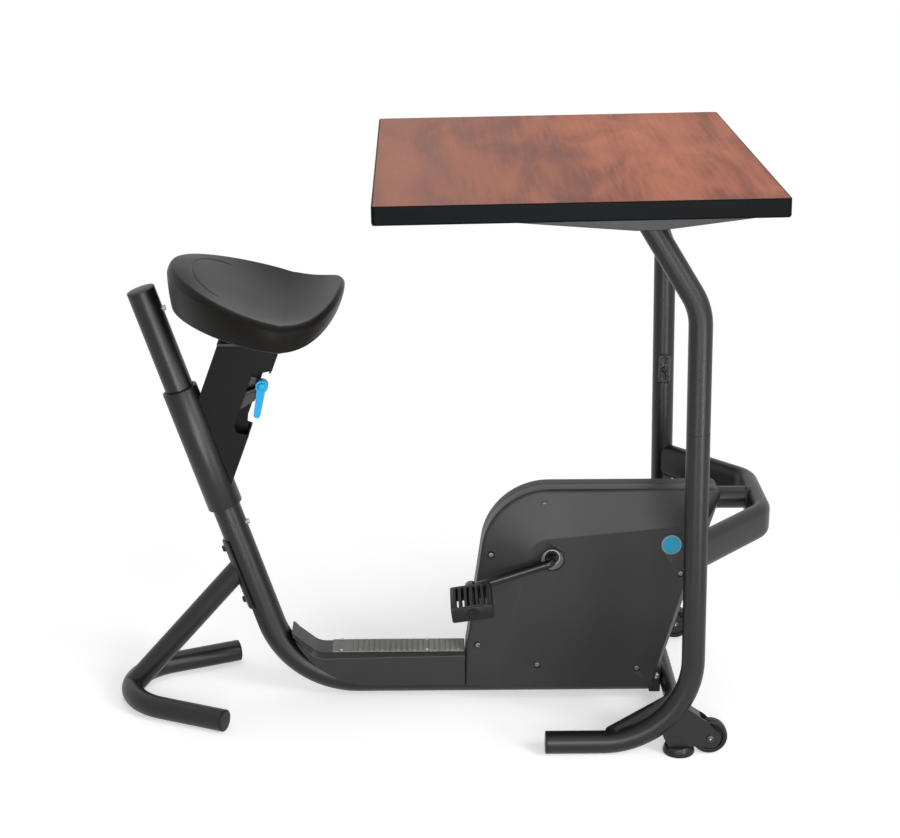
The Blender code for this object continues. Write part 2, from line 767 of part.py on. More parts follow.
def make_strut():
    """The strut, cut to the foot, with the curved plate welded to its top that sits on the spine's back."""
    low, high = rear_apex(), on_spine(STRUT_MEET)
    strut = bar("strut", [low, high], STRUT_R)
    outer = SPINE_R + GAP + SADDLE_THICK
    plate = rod("plate", on_spine(SADDLE_START), on_spine(SADDLE_END), outer, 40)
    front = box("plate_front", (-0.05, -0.05, -0.1), (0.05, 0.05, 0.3))
    front.matrix_world = aligned(on_spine(SADDLE_START, 0.05 - SPINE_R * 0.75), SPINE_UP)
    stretch = (high - low).normalized() * 0.01
    bore = bar("strut_bore", [low - stretch, high + stretch], STRUT_R - REAR_WALL)
    foot_space = bar("foot_space", rear_foot_points(), REAR_R + GAP)
    spine_space = rod("spine_space", on_spine(0.05), on_spine(0.45), SPINE_R + GAP, 48)
    made = fuse(strut, cut(plate, front))
    as_part(cut(made, bore, foot_space, spine_space), "rear_strut", "satin_black")


def cover_arc():
    """The lower edge of the cover's sides, from the level run back up to its tip, as (x, z)."""
    centre = (COVER_ARC_X, SPINE_Z + COVER_ARC_R)
    end = math.acos((COVER_TIP[0] + 0.0035 - centre[0]) / COVER_ARC_R)
    return circle(centre, COVER_ARC_R, -math.pi / 2, -end)


def make_footrest():
    """The cover over the spine's level run, and its ribbed tread."""
    front = HOUSING_REAR_X - GAP
    tip_x, tip_z = COVER_TIP
    back = cover_arc()
    outline = [(front, COVER_TOP_Z), (front, SPINE_Z)] + back + [COVER_TIP]
    outline += circle((COVER_REAR_X + 0.012, COVER_TOP_Z + 0.0345), 0.0345, math.radians(231.6), math.radians(270))
    cover = slab("cover", [outline], -COVER_HALF_WIDTH, COVER_HALF_WIDTH)
    inside = COVER_TOP_Z - COVER_THICK
    slope = [(COVER_REAR_X - 0.004, inside), (tip_x + 0.001, tip_z - 0.0045)]
    hollow = [(front + 0.01, inside), (front + 0.01, SPINE_Z - 0.01)]
    hollow += [(x, z - 0.01) for x, z in back] + [(tip_x - 0.04, tip_z)] + slope[::-1]
    inner = COVER_HALF_WIDTH - COVER_THICK
    bore = slab("cover_bore", [hollow], -inner, inner)
    room = bar("spine_room", spine_points(), SPINE_R + GAP)
    as_part(cut(cover, bore, room), "footrest_cover", "moulded_black")
    low = COVER_TOP_Z + GAP
    ribs = int((front - TREAD_START_X) / TREAD_PITCH)
    profile = [(TREAD_START_X, low), (TREAD_START_X + ribs * TREAD_PITCH, low)]
    for k in reversed(range(ribs)):
        x = TREAD_START_X + k * TREAD_PITCH
        top = low + TREAD_BASE + TREAD_RIB
        profile += [(x + TREAD_PITCH, low + TREAD_BASE), (x + TREAD_PITCH * 0.8, low + TREAD_BASE)]
        profile += [(x + TREAD_PITCH * 0.7, top), (x + TREAD_PITCH * 0.1, top), (x, low + TREAD_BASE)]
    tread = slab("tread", [dropped_doubles(profile)], -TREAD_HALF_WIDTH, TREAD_HALF_WIDTH)
    as_part(tread, "footrest_tread", "tread_grey")


def dropped_doubles(outline):
    """An outline without points that repeat the one before."""
    kept = []
    for point in outline:
        if not kept or math.dist(kept[-1], point) > 1e-6:
            kept.append(point)
    return kept


def housing_outlines(inset):
    """The rim and the flat side of a housing shell as lists of (x, z, half width), drawn in by an inset."""
    t = inset
    rear = HOUSING_REAR_X
    rim = rounded(
        [
            (rear + t, 0.0235 + t),
            (rear + 0.0015 + t, 0.095 - t),
            (rear + 0.0025 + t, 0.103 - t),
            (rear + 0.042 + t, 0.3905 - t),
            (0.484 - t * 1.35, 0.3905 - t),
            (0.3745 - t * 1.35, 0.0235 + t),
        ],
        [0, 0, 0, 0.117 - t, 0.012 - t, 0],
    )
    side = rounded(
        [
            (rear + 0.066 + t, 0.0235 + t),
            (rear + 0.0665 + t, 0.095 - t),
            (rear + 0.0682 + t, 0.1015 - t),
            (rear + 0.1136 + t, 0.3045 - t),
            (0.4530 - t * 1.35, 0.3335 - t),
            (0.3664 - t * 1.35, 0.0235 + t),
        ],
        [0, 0, 0, 0.030 - t, 0.010 - t, 0],
    )
    return rim, side


def resampled(outline, count):
    """An outline's arc as this many points, equally spaced by index. It keeps the ends."""
    return [outline[round(k * (len(outline) - 1) / (count - 1))] for k in range(count)]


def matched(rim, side):
    """The two outlines with the same number of points, corner for corner."""
    parts = []
    for outline in (rim, side):
        first_arc = outline[3:-1]
        split = max(range(1, len(first_arc)), key=lambda k: math.dist(first_arc[k], first_arc[k - 1]))
        parts.append((outline[:3], resampled(first_arc[:split], 9), resampled(first_arc[split:], 4), outline[-1:]))
    return [[point for part in outline for point in part] for outline in parts]


def housing_shell(name, side_sign):
    """One half of the housing: a rim, sloping facets and a flat side, hollow and open below."""
    shape = bmesh.new()
    loops = []
    for inset in (0.0, HOUSING_WALL):
        rim, side = matched(*housing_outlines(inset))
        deep = [(SILL_HALF_WIDTH if k < 2 else RIM_HALF_WIDTH) - inset for k in range(len(rim))]
        split = [GAP / 2] * len(rim)
        flat = [SIDE_HALF_WIDTH - inset] * len(side)
        rows = [(rim, split), (rim, deep), (side, flat)]
        loops.append(
            [[shape.verts.new((x, side_sign * y, z)) for (x, z), y in zip(outline, widths)] for outline, widths in rows]
        )
    for rows in loops:
        for first, second in zip(rows, rows[1:]):
            for k in range(len(first)):
                shape.faces.new((first[k - 1], first[k], second[k], second[k - 1]))
        shape.faces.new(rows[-1])
    outer, inner = loops[0][0], loops[1][0]
    for k in range(len(outer)):
        shape.faces.new((outer[k - 1], outer[k], inner[k], inner[k - 1]))
    return mesh_object(name, shape)


def make_housing():
    """The two shells of the drive housing, and the badge."""
    for name, sign in (("near", -1), ("far", 1)):
        shell = housing_shell(name + "_shell", sign)
        x, z = CRANK_AT
        room_half = BRACKET_HALF_WIDTH + 0.001
        room_low, room_high = (SPINE_FRONT_X - 0.01, -room_half, 0.0), (0.6, room_half, BRACKET_Z[1] + 0.001)
        cutters = [
            box(name + "_open", (0.0, -0.1, -0.05), (0.5, 0.1, HOUSING_OPEN_Z)),
            rod(name + "_tunnel", (-0.01, 0, SPINE_Z), (0.6, 0, SPINE_Z), SPINE_R + 2 * GAP, 40),
            box(name + "_front_room", room_low, room_high),
            rod(name + "_hub", (x, sign * 0.03, z), (x, sign * 0.06, z), HUB_HOLE_R, 28),
            rod(name + "_stub_room", (0.42, 0, STUB_Z), (0.6, 0, STUB_Z), STUB_R + GAP, 40),
        ]
        if sign < 0:
            cutters.append(badge_room())
        as_part(cut(shell, *cutters), f"housing_{name}", "moulded_black")
    x, z = BADGE_AT
    rim = BADGE_R - 0.0016
    profile = [(0, 0.0024), (rim, 0.0024), (rim + 0.0003, 0.003), (BADGE_R, 0.003), (BADGE_R, 0), (0, 0)]
    at = (x, -SIDE_HALF_WIDTH + BADGE_DEPTH - GAP, z)
    as_part(turned("disc", profile, at, (0, -1, 0), sides=32), "badge_disc", "teal")


def badge_room():
    """The shallow recess for the badge."""
    x, z = BADGE_AT
    return rod("badge_room", (x, -SIDE_HALF_WIDTH + BADGE_DEPTH, z), (x, -0.06, z), BADGE_R + GAP, 40)


def drive_plate(name, sign):
    """One side plate of the drive frame."""
    (cx, cz), (fx, fz) = CRANK_AT, FLYWHEEL_AT
    low, high = SPINE_Z + 0.004, STUB_Z - 0.031
    corners = [(cx - 0.069, low), (fx + 0.020, low), (fx + 0.056, fz - 0.040), (STUB_START_X + 0.047, high)]
    corners += [(STUB_START_X - 0.006, high), (fx + 0.003, fz + 0.062), (cx + 0.031, cz + 0.035)]
    corners += [(cx - 0.029, cz + 0.035), (cx - 0.048, cz - 0.020)]
    outline = rounded(corners, [0.004, 0.004, 0, 0.006, 0.006, 0.020, 0.020, 0.020, 0])
    faces = sorted((sign * DRIVE_PLATE_Y, sign * (DRIVE_PLATE_Y + DRIVE_PLATE_THICK)))
    return slab(name, [outline], *faces)


def make_drive_frame():
    """Two plates on the spine that carry the crank, the flywheel and the stub tube."""
    edge = DRIVE_PLATE_Y + DRIVE_PLATE_THICK / 2
    floor = SPINE_Z + SPINE_R + GAP
    tie = box("tie", (CRANK_AT[0] - 0.044, -edge, floor), (FLYWHEEL_AT[0] + 0.008, edge, floor + 0.003))
    rest = STUB_Z - STUB_R - GAP
    block = box("block", (STUB_START_X + 0.002, -edge, rest - 0.025), (STUB_START_X + 0.040, edge, rest))
    frame = fuse(drive_plate("near_plate", -1), tie, block, drive_plate("far_plate", 1))
    (cx, cz), (fx, fz) = CRANK_AT, FLYWHEEL_AT
    holes = [
        rod("crank_hole", (cx, -0.06, cz), (cx, 0.06, cz), CRANK_BEARING_R + GAP, 24),
        rod("flywheel_hole", (fx, -0.06, fz), (fx, 0.06, fz), FLYWHEEL_BEARING_R + GAP, 24),
    ]
    as_part(cut(frame, *holes), "drive_frame", "satin_black")
    crank_fit = (CRANK_AT, CRANK_BEARING_R, CRANK_R + GAP)
    flywheel_fit = (FLYWHEEL_AT, FLYWHEEL_BEARING_R, SHAFT_R + GAP)
    for side, sign in (("near", -1), ("far", 1)):
        start = sign * (DRIVE_PLATE_Y + DRIVE_PLATE_THICK / 2) - BEARING_LENGTH / 2
        for name, ((x, z), outer, inner) in (("crank", crank_fit), ("flywheel", flywheel_fit)):
            bearing = ring("bearing", outer, inner, (x, start, z), (0, 1, 0), BEARING_LENGTH)
            as_part(bearing, f"{name}_bearing_{side}", "steel")


def crank_direction():
    """The unit vector from the crank's centre to the near pedal."""
    return Vector((math.cos(CRANK_ANGLE), 0, math.sin(CRANK_ANGLE)))


def pedal_centre(sign):
    """The point where a pedal's spindle meets its crank arm. The near side is -1."""
    return crank_centre() - crank_direction() * CRANK_LENGTH * sign + Vector((0, sign * CRANK_END_Y, 0))


def crank_centre():
    """The crank's centre."""
    return Vector((CRANK_AT[0], 0, CRANK_AT[1]))


def make_crank():
    """The one-piece crank, bent from one bar, with an eye at each end, and its pulley."""
    bend = Vector((0, CRANK_BEND_Y, 0))
    line = [pedal_centre(-1), crank_centre() - bend, crank_centre() + bend, pedal_centre(1)]
    crank = bar("crank_bar", filleted(line, [CRANK_BEND_R, CRANK_BEND_R]), CRANK_R, 16)
    reach = Vector((0, EYE_HALF_LENGTH, 0))
    eyes = [rod(f"eye_{k}", pedal_centre(k) - reach, pedal_centre(k) + reach, EYE_R, 20) for k in (-1, 1)]
    crank = fuse(crank, *eyes)
    holes = [
        rod(f"eye_hole_{k}", pedal_centre(k) - 2 * reach, pedal_centre(k) + 2 * reach, PEDAL_SPINDLE_R + GAP, 16)
        for k in (-1, 1)
    ]
    as_part(cut(pivoted(crank, crank_centre()), *holes), "crank", "satin_black")
    half = BELT_WIDTH / 2 + GAP
    wide = half + FLANGE_THICK
    profile = [(PULLEY_R, wide), (PULLEY_R, half), (PULLEY_GROOVE_R, half), (PULLEY_GROOVE_R, -half)]
    profile += [(PULLEY_R, -half), (PULLEY_R, -wide), (CRANK_R + GAP, -wide), (CRANK_R + GAP, wide)]
    at = crank_centre() + Vector((0, BELT_Y, 0))
    as_part(turned("pulley", profile, at, (0, 1, 0), sides=36), "drive_pulley", "moulded_black")


def make_flywheel():
    """The flywheel turned with its shaft and small pulley, and the belt round both pulleys."""
    low, high = FLYWHEEL_Y - FLYWHEEL_THICK / 2, FLYWHEEL_Y + FLYWHEEL_THICK / 2
    half = BELT_WIDTH / 2 + GAP
    wide = half + FLANGE_THICK
    profile = [(0, SHAFT_HALF_LENGTH), (SHAFT_R, SHAFT_HALF_LENGTH), (SHAFT_R, BELT_Y + wide)]
    profile += [(SMALL_PULLEY_R, BELT_Y + wide), (SMALL_PULLEY_R, BELT_Y + half), (SMALL_GROOVE_R, BELT_Y + half)]
    profile += [(SMALL_GROOVE_R, BELT_Y - half), (SMALL_PULLEY_R, BELT_Y - half), (SMALL_PULLEY_R, BELT_Y - wide)]
    profile += [(SHAFT_R, BELT_Y - wide), (SHAFT_R, high), (FLYWHEEL_R, high), (FLYWHEEL_R, low)]
    profile += [(SHAFT_R, low), (SHAFT_R, -SHAFT_HALF_LENGTH), (0, -SHAFT_HALF_LENGTH)]
    at = Vector((FLYWHEEL_AT[0], 0, FLYWHEEL_AT[1]))
    as_part(turned("wheel", profile, at, (0, 1, 0), sides=32), "flywheel", "cast_iron")
    loops = [belt_loop(BELT_THICK), belt_loop(0.0)]
    as_part(slab("belt", loops, BELT_Y - BELT_WIDTH / 2, BELT_Y + BELT_WIDTH / 2), "drive_belt", "rubber")


def belt_loop(out):
    """The belt's loop round both pulleys, this far out from its inner face."""
    big, small = PULLEY_GROOVE_R + GAP + out, SMALL_GROOVE_R + GAP + out
    step = Vector(FLYWHEEL_AT) - Vector(CRANK_AT)
    heading = math.atan2(step.y, step.x)
    open_angle = math.acos((big - small) / step.length)
    outer = circle(CRANK_AT, big, heading + open_angle, heading + 2 * math.pi - open_angle, math.radians(6))
    inner = circle(FLYWHEEL_AT, small, heading - open_angle, heading + open_angle, math.radians(12))
    return outer + inner


def make_pedals():
    """The pedals, slotted blocks that turn on their spindles."""
    for name, sign in (("near", -1), ("far", 1)):
        eye = pedal_centre(sign)
        start = EYE_HALF_LENGTH + GAP
        inner = start + PEDAL_FLANGE + GAP
        outer = inner + PEDAL_WIDTH
        end = outer + GAP
        profile = [(0, end + 0.002), (PEDAL_FLANGE_R, end + 0.002), (PEDAL_FLANGE_R, end), (PEDAL_SPINDLE_R, end)]
        profile += [(PEDAL_SPINDLE_R, start + PEDAL_FLANGE), (PEDAL_FLANGE_R, start + PEDAL_FLANGE)]
        profile += [(PEDAL_FLANGE_R, start), (PEDAL_SPINDLE_R, start), (PEDAL_SPINDLE_R, -0.006), (0, -0.006)]
        spindle = turned("spindle", profile, eye, (0, sign, 0), sides=16)
        as_part(pivoted(spindle, crank_centre()), f"pedal_spindle_{name}", "steel")
        low, high = sorted((sign * inner, sign * outer))
        half = Vector((PEDAL_LENGTH / 2, 0, PEDAL_THICK / 2))
        block = box(name + "_block", -half + Vector((0, low, 0)), half + Vector((0, high, 0)))
        bevel = block.modifiers.new("edges", "BEVEL")
        bevel.width, bevel.segments = 0.003, 2
        bevel.limit_method = "ANGLE"
        slots = []
        for k in range(PEDAL_SLOTS):
            x = (k - (PEDAL_SLOTS - 1) / 2) * PEDAL_PITCH
            corner = Vector((PEDAL_SLOT / 2, 0, 0.05))
            slots.append(box(f"{name}_slot_{k}", Vector((x, low + 0.007, 0)) - corner, Vector((x, high - 0.007, 0)) + corner))
        block = cut(block, *slots)
        core = rod(name + "_core", (0, low + 0.002, 0), (0, high - 0.002, 0), 0.0088, 16)
        block = fuse(block, core)
        block.name = name + "_pedal"
        bore = rod(name + "_bore", (0, low - 0.01, 0), (0, high + 0.01, 0), PEDAL_SPINDLE_R + GAP, 16)
        block = cut(block, bore)
        block.location = eye
        block.rotation_euler = (0, PEDAL_TILT, 0)
        as_part(block, f"pedal_{name}", "rubber")


def leg_x(z):
    """X of a post's axis at a height, below its knee."""
    return LEG_X_AT_FLOOR - (z - LEG_R) * LEG_LEAN


def leg_lower_points(y, extra=0.0):
    """The lower post's centre line, from the foot's end up to the joint."""
    joint_z = LEG_JOINT_Z + extra
    start = (LEG_FOOT_END_X - extra, y, LEG_R)
    return filleted([start, (leg_x(LEG_R), y, LEG_R), (leg_x(joint_z), y, joint_z)], [LEG_BEND_R])


def leg_upper_points(y, extra=0.0):
    """The upper post's centre line, from the joint past the knee to the rail."""
    low_z = LEG_JOINT_Z + GAP - extra
    top_z = LEG_TOP_Z + extra
    top_x = leg_x(LEG_KNEE_Z) - (top_z - LEG_KNEE_Z) * math.tan(LEG_KNEE_ANGLE)
    knee = (leg_x(LEG_KNEE_Z), y, LEG_KNEE_Z)
    return filleted([(leg_x(low_z), y, low_z), knee, (top_x, y, top_z)], [LEG_KNEE_R])


def make_legs():
    """Both posts, each in two tubes with a coupler inside, a welded joint plate and a plug."""
    up = Vector((-LEG_LEAN, 0, 1)).normalized()
    inner_r = LEG_R - LEG_WALL
    for name, sign in (("near", -1), ("far", 1)):
        y = sign * LEG_Y
        inward = Vector((0, -sign, 0))
        hub = Vector((leg_x(JOINT_PLATE_Z), y, JOINT_PLATE_Z))
        lower = bar(name + "_lower", leg_lower_points(y), LEG_R)
        lower = fuse(lower, joint_plate(hub + inward * (LEG_R - 0.002), inward))
        lower_bore = bar(name + "_lower_bore", leg_lower_points(y, 0.01), inner_r)
        as_part(cut(lower, lower_bore), f"leg_lower_{name}", "satin_black")
        upper = bar(name + "_upper", leg_upper_points(y), LEG_R)
        upper_bore = bar(name + "_upper_bore", leg_upper_points(y, 0.01), inner_r)
        as_part(cut(upper, upper_bore), f"leg_upper_{name}", "satin_black")
        start = Vector((leg_x(LEG_JOINT_Z), y, LEG_JOINT_Z)) - up * COUPLER_LENGTH / 2
        outer = inner_r * math.cos(math.pi / TUBE_SIDES) - GAP
        coupler = ring(name + "_coupler", outer, outer - COUPLER_WALL, start, up, COUPLER_LENGTH, TUBE_SIDES)
        as_part(coupler, f"leg_coupler_{name}", "steel")
        foot_end = Vector((LEG_FOOT_END_X - GAP, y, LEG_R))
        as_part(plug("plug", foot_end, (1, 0, 0), LEG_R, LEG_WALL), f"leg_foot_cap_{name}", "moulded_black")


def joint_plate(at, inward):
    """A small plate with two upright slots on a post's inner side."""
    length, height, thick = JOINT_PLATE
    half, tall = length / 2, height / 2
    outline = rounded(
        [(at.x - half, at.z - tall), (at.x + half, at.z - tall), (at.x + half, at.z + tall), (at.x - half, at.z + tall)],
        [0.005] * 4,
    )
    slots = []
    for side in (-1, 1):
        x, z = at.x, at.z + side * tall * 0.62
        slots.append([(x - 0.0025, z - 0.006), (x + 0.0025, z - 0.006), (x + 0.0025, z + 0.006), (x - 0.0025, z + 0.006)])
    faces = sorted((at.y, at.y + inward.y * thick))
    return slab("joint_plate", [outline, *slots], *faces)


def hoop_points(start_x, nose_x, corner_y, z, bend):
    """A hoop's level centre line from the near post round the nose to the far one."""
    half = [(start_x, LEG_Y), (nose_x, corner_y)]
    near = [(x, -y, z) for x, y in half]
    far = [(x, y, z) for x, y in reversed(half)]
    return filleted(near + far, [bend, bend])


def upper_hoop_points():
    """The upper hoop's centre line."""
    return hoop_points(leg_x(UPPER_HOOP_Z), UPPER_NOSE_X, UPPER_CORNER_Y, UPPER_HOOP_Z, UPPER_BEND_R)


def lower_hoop_points():
    """The lower hoop's centre line."""
    return hoop_points(LOWER_START_X, LOWER_NOSE_X, LOWER_CORNER_Y, LOWER_HOOP_Z, LOWER_BEND_R)


def make_hoops():
    """The two hoops that join the posts, cut to their tubes, and the stub tube to the upper one."""
    for name, points, half_thick, half_height in (
        ("upper_hoop", upper_hoop_points(), UPPER_OVAL_HALF_THICK, UPPER_OVAL_HALF_HEIGHT),
        ("lower_hoop", lower_hoop_points(), LOWER_OVAL_HALF_THICK, LOWER_OVAL_HALF_HEIGHT),
    ):
        hoop = oval_bar(name + "_bar", points, half_thick, half_height)
        bore = oval_bar(name + "_bore", points, half_thick - OVAL_WALL, half_height - OVAL_WALL)
        posts = [bar(f"{name}_room_{sign}", leg_lower_points(sign * LEG_Y), LEG_R + GAP) for sign in (-1, 1)]
        as_part(cut(hoop, bore, *posts), name, "satin_black")
    start, end = (STUB_START_X, 0, STUB_Z), (UPPER_NOSE_X, 0, STUB_Z)
    stub = bar("stub", [start, end], STUB_R)
    bore = bar("stub_bore", [(STUB_START_X - 0.01, 0, STUB_Z), (UPPER_NOSE_X + 0.01, 0, STUB_Z)], STUB_R - STUB_WALL)
    room = oval_bar("nose_room", upper_hoop_points(), UPPER_OVAL_HALF_THICK + GAP, UPPER_OVAL_HALF_HEIGHT + GAP)
    as_part(cut(stub, bore, room), "stub_tube", "satin_black")


def make_front_bracket():
    """The upright box between the spine's front end and the lower hoop."""
    start, end = SPINE_FRONT_X + GAP, LOWER_NOSE_X - LOWER_OVAL_HALF_THICK - GAP
    half = BRACKET_HALF_WIDTH
    low, high = BRACKET_Z
    body = box("front_bracket", (start, -half, low), (end, half, high))
    wall = BRACKET_WALL
    room = box("bracket_room", (start + wall, -half + wall, low - 0.01), (end - wall, half - wall, high + 0.01))
    as_part(cut(body, room), "front_bracket", "satin_black")


def squared(piece):
    """Turn a piece of the desk about the board's middle, so that the desk stands square to the leaning posts."""
    middle = Vector((DESK_X, 0, DESK_TOP_Z))
    turn = Matrix.Rotation(-math.atan(LEG_LEAN), 4, "Y")
    piece.data.transform(Matrix.Translation(middle) @ turn @ Matrix.Translation(-middle) @ piece.matrix_basis)
    piece.matrix_basis = Matrix.Identity(4)
    return piece


def make_rails():
    """The two desk rails."""
    top = DESK_TOP_Z - DESK_THICK - GAP
    half = LEG_R + GAP + RAIL_WALL
    outline = [
        (RAIL_START_X, top),
        (RAIL_START_X, top - RAIL_DEPTH_START),
        (RAIL_DEEP_X[0], top - RAIL_DEPTH_POST),
        (RAIL_DEEP_X[1], top - RAIL_DEPTH_POST),
        (RAIL_END_X, top - RAIL_DEPTH_END),
        (RAIL_END_X, top),
    ]
    web = top - RAIL_WEB
    below = top - RAIL_DEPTH_POST - 0.02
    start, end = RAIL_START_X - 0.01, RAIL_END_X + 0.01
    room = [(start, web), (start, below), (end, below), (end, web)]
    for name, sign in (("near", -1), ("far", 1)):
        y = sign * LEG_Y
        rail = slab(name + "_rail", [outline], y - half, y + half)
        bore = slab(name + "_rail_room", [room], y - half + RAIL_WALL, y + half - RAIL_WALL)
        as_part(squared(cut(rail, bore)), f"desk_rail_{name}", "satin_black")


def make_desktop():
    """The laminated board and the band round its edge."""
    low, high = DESK_TOP_Z - DESK_THICK, DESK_TOP_Z
    half_x, half_y = DESK_LENGTH / 2, DESK_WIDTH / 2

    def plan(inset, radius):
        x, y = half_x - inset, half_y - inset
        corners = [(DESK_X - x, -y), (DESK_X + x, -y), (DESK_X + x, y), (DESK_X - x, y)]
        return rounded(corners, [radius] * 4)

    corner = BAND_CORNER_R - BAND_THICK
    board = slab("board", [plan(BAND_THICK + GAP, corner)], low, high, upright=False)
    as_part(squared(board), "desktop", "cherry")
    band = slab("band", [plan(0.0, BAND_CORNER_R), plan(BAND_THICK, corner)], low, high, upright=False)
    as_part(squared(band), "desk_edge_band", "edge_black")


def wheel_bracket(name, y):
    """Two plates on a post's bend, tied above the wheel and above the rubber foot."""
    wx, wz = WHEEL_AT
    eye = circle(WHEEL_AT, WHEEL_EYE_R, math.radians(62), math.radians(-118))
    outline = [(0.395, 0.100), (0.409, 0.0815), (0.4385, 0.0625)] + eye
    outline += [(0.428, RUBBER_H), (0.377, RUBBER_H), (0.368, 0.034), (0.360, 0.060)]
    plates = []
    for side in (-1, 1):
        faces = sorted((y + side * WHEEL_PLATE_Y, y + side * (WHEEL_PLATE_Y + WHEEL_PLATE_THICK)))
        plates.append(slab(f"{name}_plate_{side}", [outline], *faces))
    edge = WHEEL_PLATE_Y + WHEEL_PLATE_THICK / 2
    upper = slab(name + "_upper_tie", [[(0.4035, 0.0870), (0.4290, 0.0686), (0.4270, 0.0658), (0.4010, 0.0840)]], y - edge, y + edge)
    lower = box(name + "_lower_tie", (0.378, y - edge, RUBBER_H), (0.412, y + edge, RUBBER_H + 0.003))
    bracket = fuse(plates[0], upper, lower, plates[1])
    leg = bar(name + "_leg_room", leg_lower_points(y), LEG_R + GAP)
    axle = rod(name + "_axle_hole", (wx, y - 0.03, wz), (wx, y + 0.03, wz), AXLE_R + GAP, 16)
    stud = rod(name + "_stud_hole", (RUBBER_X, y, 0.01), (RUBBER_X, y, 0.04), 0.0043, 16)
    return cut(bracket, leg, axle, stud)


def make_wheels():
    """The transport wheels, their brackets and axles, and the rubber feet."""
    wx, wz = WHEEL_AT
    for name, sign in (("near", -1), ("far", 1)):
        y = sign * LEG_Y
        as_part(wheel_bracket(name + "_bracket", y), f"wheel_bracket_{name}", "satin_black")
        half, edge = WHEEL_HALF_WIDTH, WHEEL_R
        profile = [(edge - 0.002, half), (edge, half - 0.003), (edge, 0.003 - half), (edge - 0.002, -half)]
        profile += [(AXLE_R + GAP, -half), (AXLE_R + GAP, half)]
        as_part(turned("wheel", profile, (wx, y, wz), (0, 1, 0), sides=24), f"wheel_{name}", "rubber")
        out = WHEEL_PLATE_Y + WHEEL_PLATE_THICK + GAP
        axle = pin("axle", (wx, y + sign * out, wz), (0, -sign, 0), 0.007, 0.003, AXLE_R, 2 * out + 0.003)
        as_part(axle, f"wheel_axle_{name}", "steel")
        top = RUBBER_H - GAP
        profile = [(0, 0.026), (0.004, 0.026), (0.004, top), (RUBBER_R - 0.004, top), (RUBBER_R - 0.002, top - 0.002)]
        profile += [(RUBBER_R, 0.003), (RUBBER_R - 0.001, 0), (0, 0)]
        as_part(turned("foot", profile, (RUBBER_X, y, 0), (0, 0, 1), sides=24), f"rubber_foot_{name}", "rubber")


def main():
    """Build every piece."""
    clear_scene()
    make_spine()
    make_sleeve()
    make_saddle_post()
    make_lever()
    make_seat_plate()
    make_cushion()
    make_rear_foot()
    make_footrest()
    make_housing()
    make_drive_frame()
    make_crank()
    make_flywheel()
    make_pedals()
    make_legs()
    make_hoops()
    make_front_bracket()
    make_rails()
    make_desktop()
    make_wheels()


main()
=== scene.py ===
"""Looks for the desk exercise bike: fine surfaces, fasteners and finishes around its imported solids.

Metres. X points the way the rider faces, Y away from the near side, Z up.
"""

import logging
import math
from collections.abc import Callable, Iterable, Sequence
from dataclasses import dataclass, field
from enum import Enum

import bmesh
import bpy
from bmesh.types import BMEdge, BMesh, BMVert
from bpy.types import Material, Node, NodeSocket, NodeTree, Object
from mathutils import Matrix, Vector


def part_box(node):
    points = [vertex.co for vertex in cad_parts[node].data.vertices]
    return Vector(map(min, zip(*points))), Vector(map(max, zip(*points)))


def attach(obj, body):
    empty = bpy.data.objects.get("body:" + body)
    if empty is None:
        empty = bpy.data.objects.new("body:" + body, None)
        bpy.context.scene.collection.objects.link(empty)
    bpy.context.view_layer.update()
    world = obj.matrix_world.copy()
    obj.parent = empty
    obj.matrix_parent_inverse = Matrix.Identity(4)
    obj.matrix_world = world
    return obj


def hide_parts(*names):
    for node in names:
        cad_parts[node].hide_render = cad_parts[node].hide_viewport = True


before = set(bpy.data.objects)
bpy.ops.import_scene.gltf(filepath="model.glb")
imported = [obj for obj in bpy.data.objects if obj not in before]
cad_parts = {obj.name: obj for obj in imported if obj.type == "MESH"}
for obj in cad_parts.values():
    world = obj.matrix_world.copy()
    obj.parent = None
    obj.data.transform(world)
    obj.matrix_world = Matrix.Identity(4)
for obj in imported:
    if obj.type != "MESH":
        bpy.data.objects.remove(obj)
LOG = logging.getLogger("desk bike")

Colour = tuple[float, float, float]
Pair = tuple[float, float]
Triple = tuple[float, float, float]
Point2 = tuple[float, float]
Point3 = tuple[float, float, float]

UP = Vector((0.0, 0.0, 1.0))
ACROSS = Vector((0.0, 1.0, 0.0))
FORWARD = Vector((1.0, 0.0, 0.0))

TINY = 1e-6  # a length that counts as nothing, in metres
WELD = 1e-5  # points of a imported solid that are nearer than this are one
FLAT = math.radians(0.5)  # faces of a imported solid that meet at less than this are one


class Body(Enum):
    """The bodies that pieces ride on."""

    FRAME = "frame"
    CARRIAGE = "saddle_carriage"
    LEVER = "release_lever"
    CRANK = "crank"
    PEDAL_NEAR = "pedal_near"
    PEDAL_FAR = "pedal_far"
    WHEEL_NEAR = "wheel_near"
    WHEEL_FAR = "wheel_far"


class Side(Enum):
    """The bike's two sides, as the sign of Y."""

    NEAR = -1
    FAR = 1

    @property
    def word(self) -> str:
        """The side's name in the names of nodes."""
        return self.name.lower()


# Shading


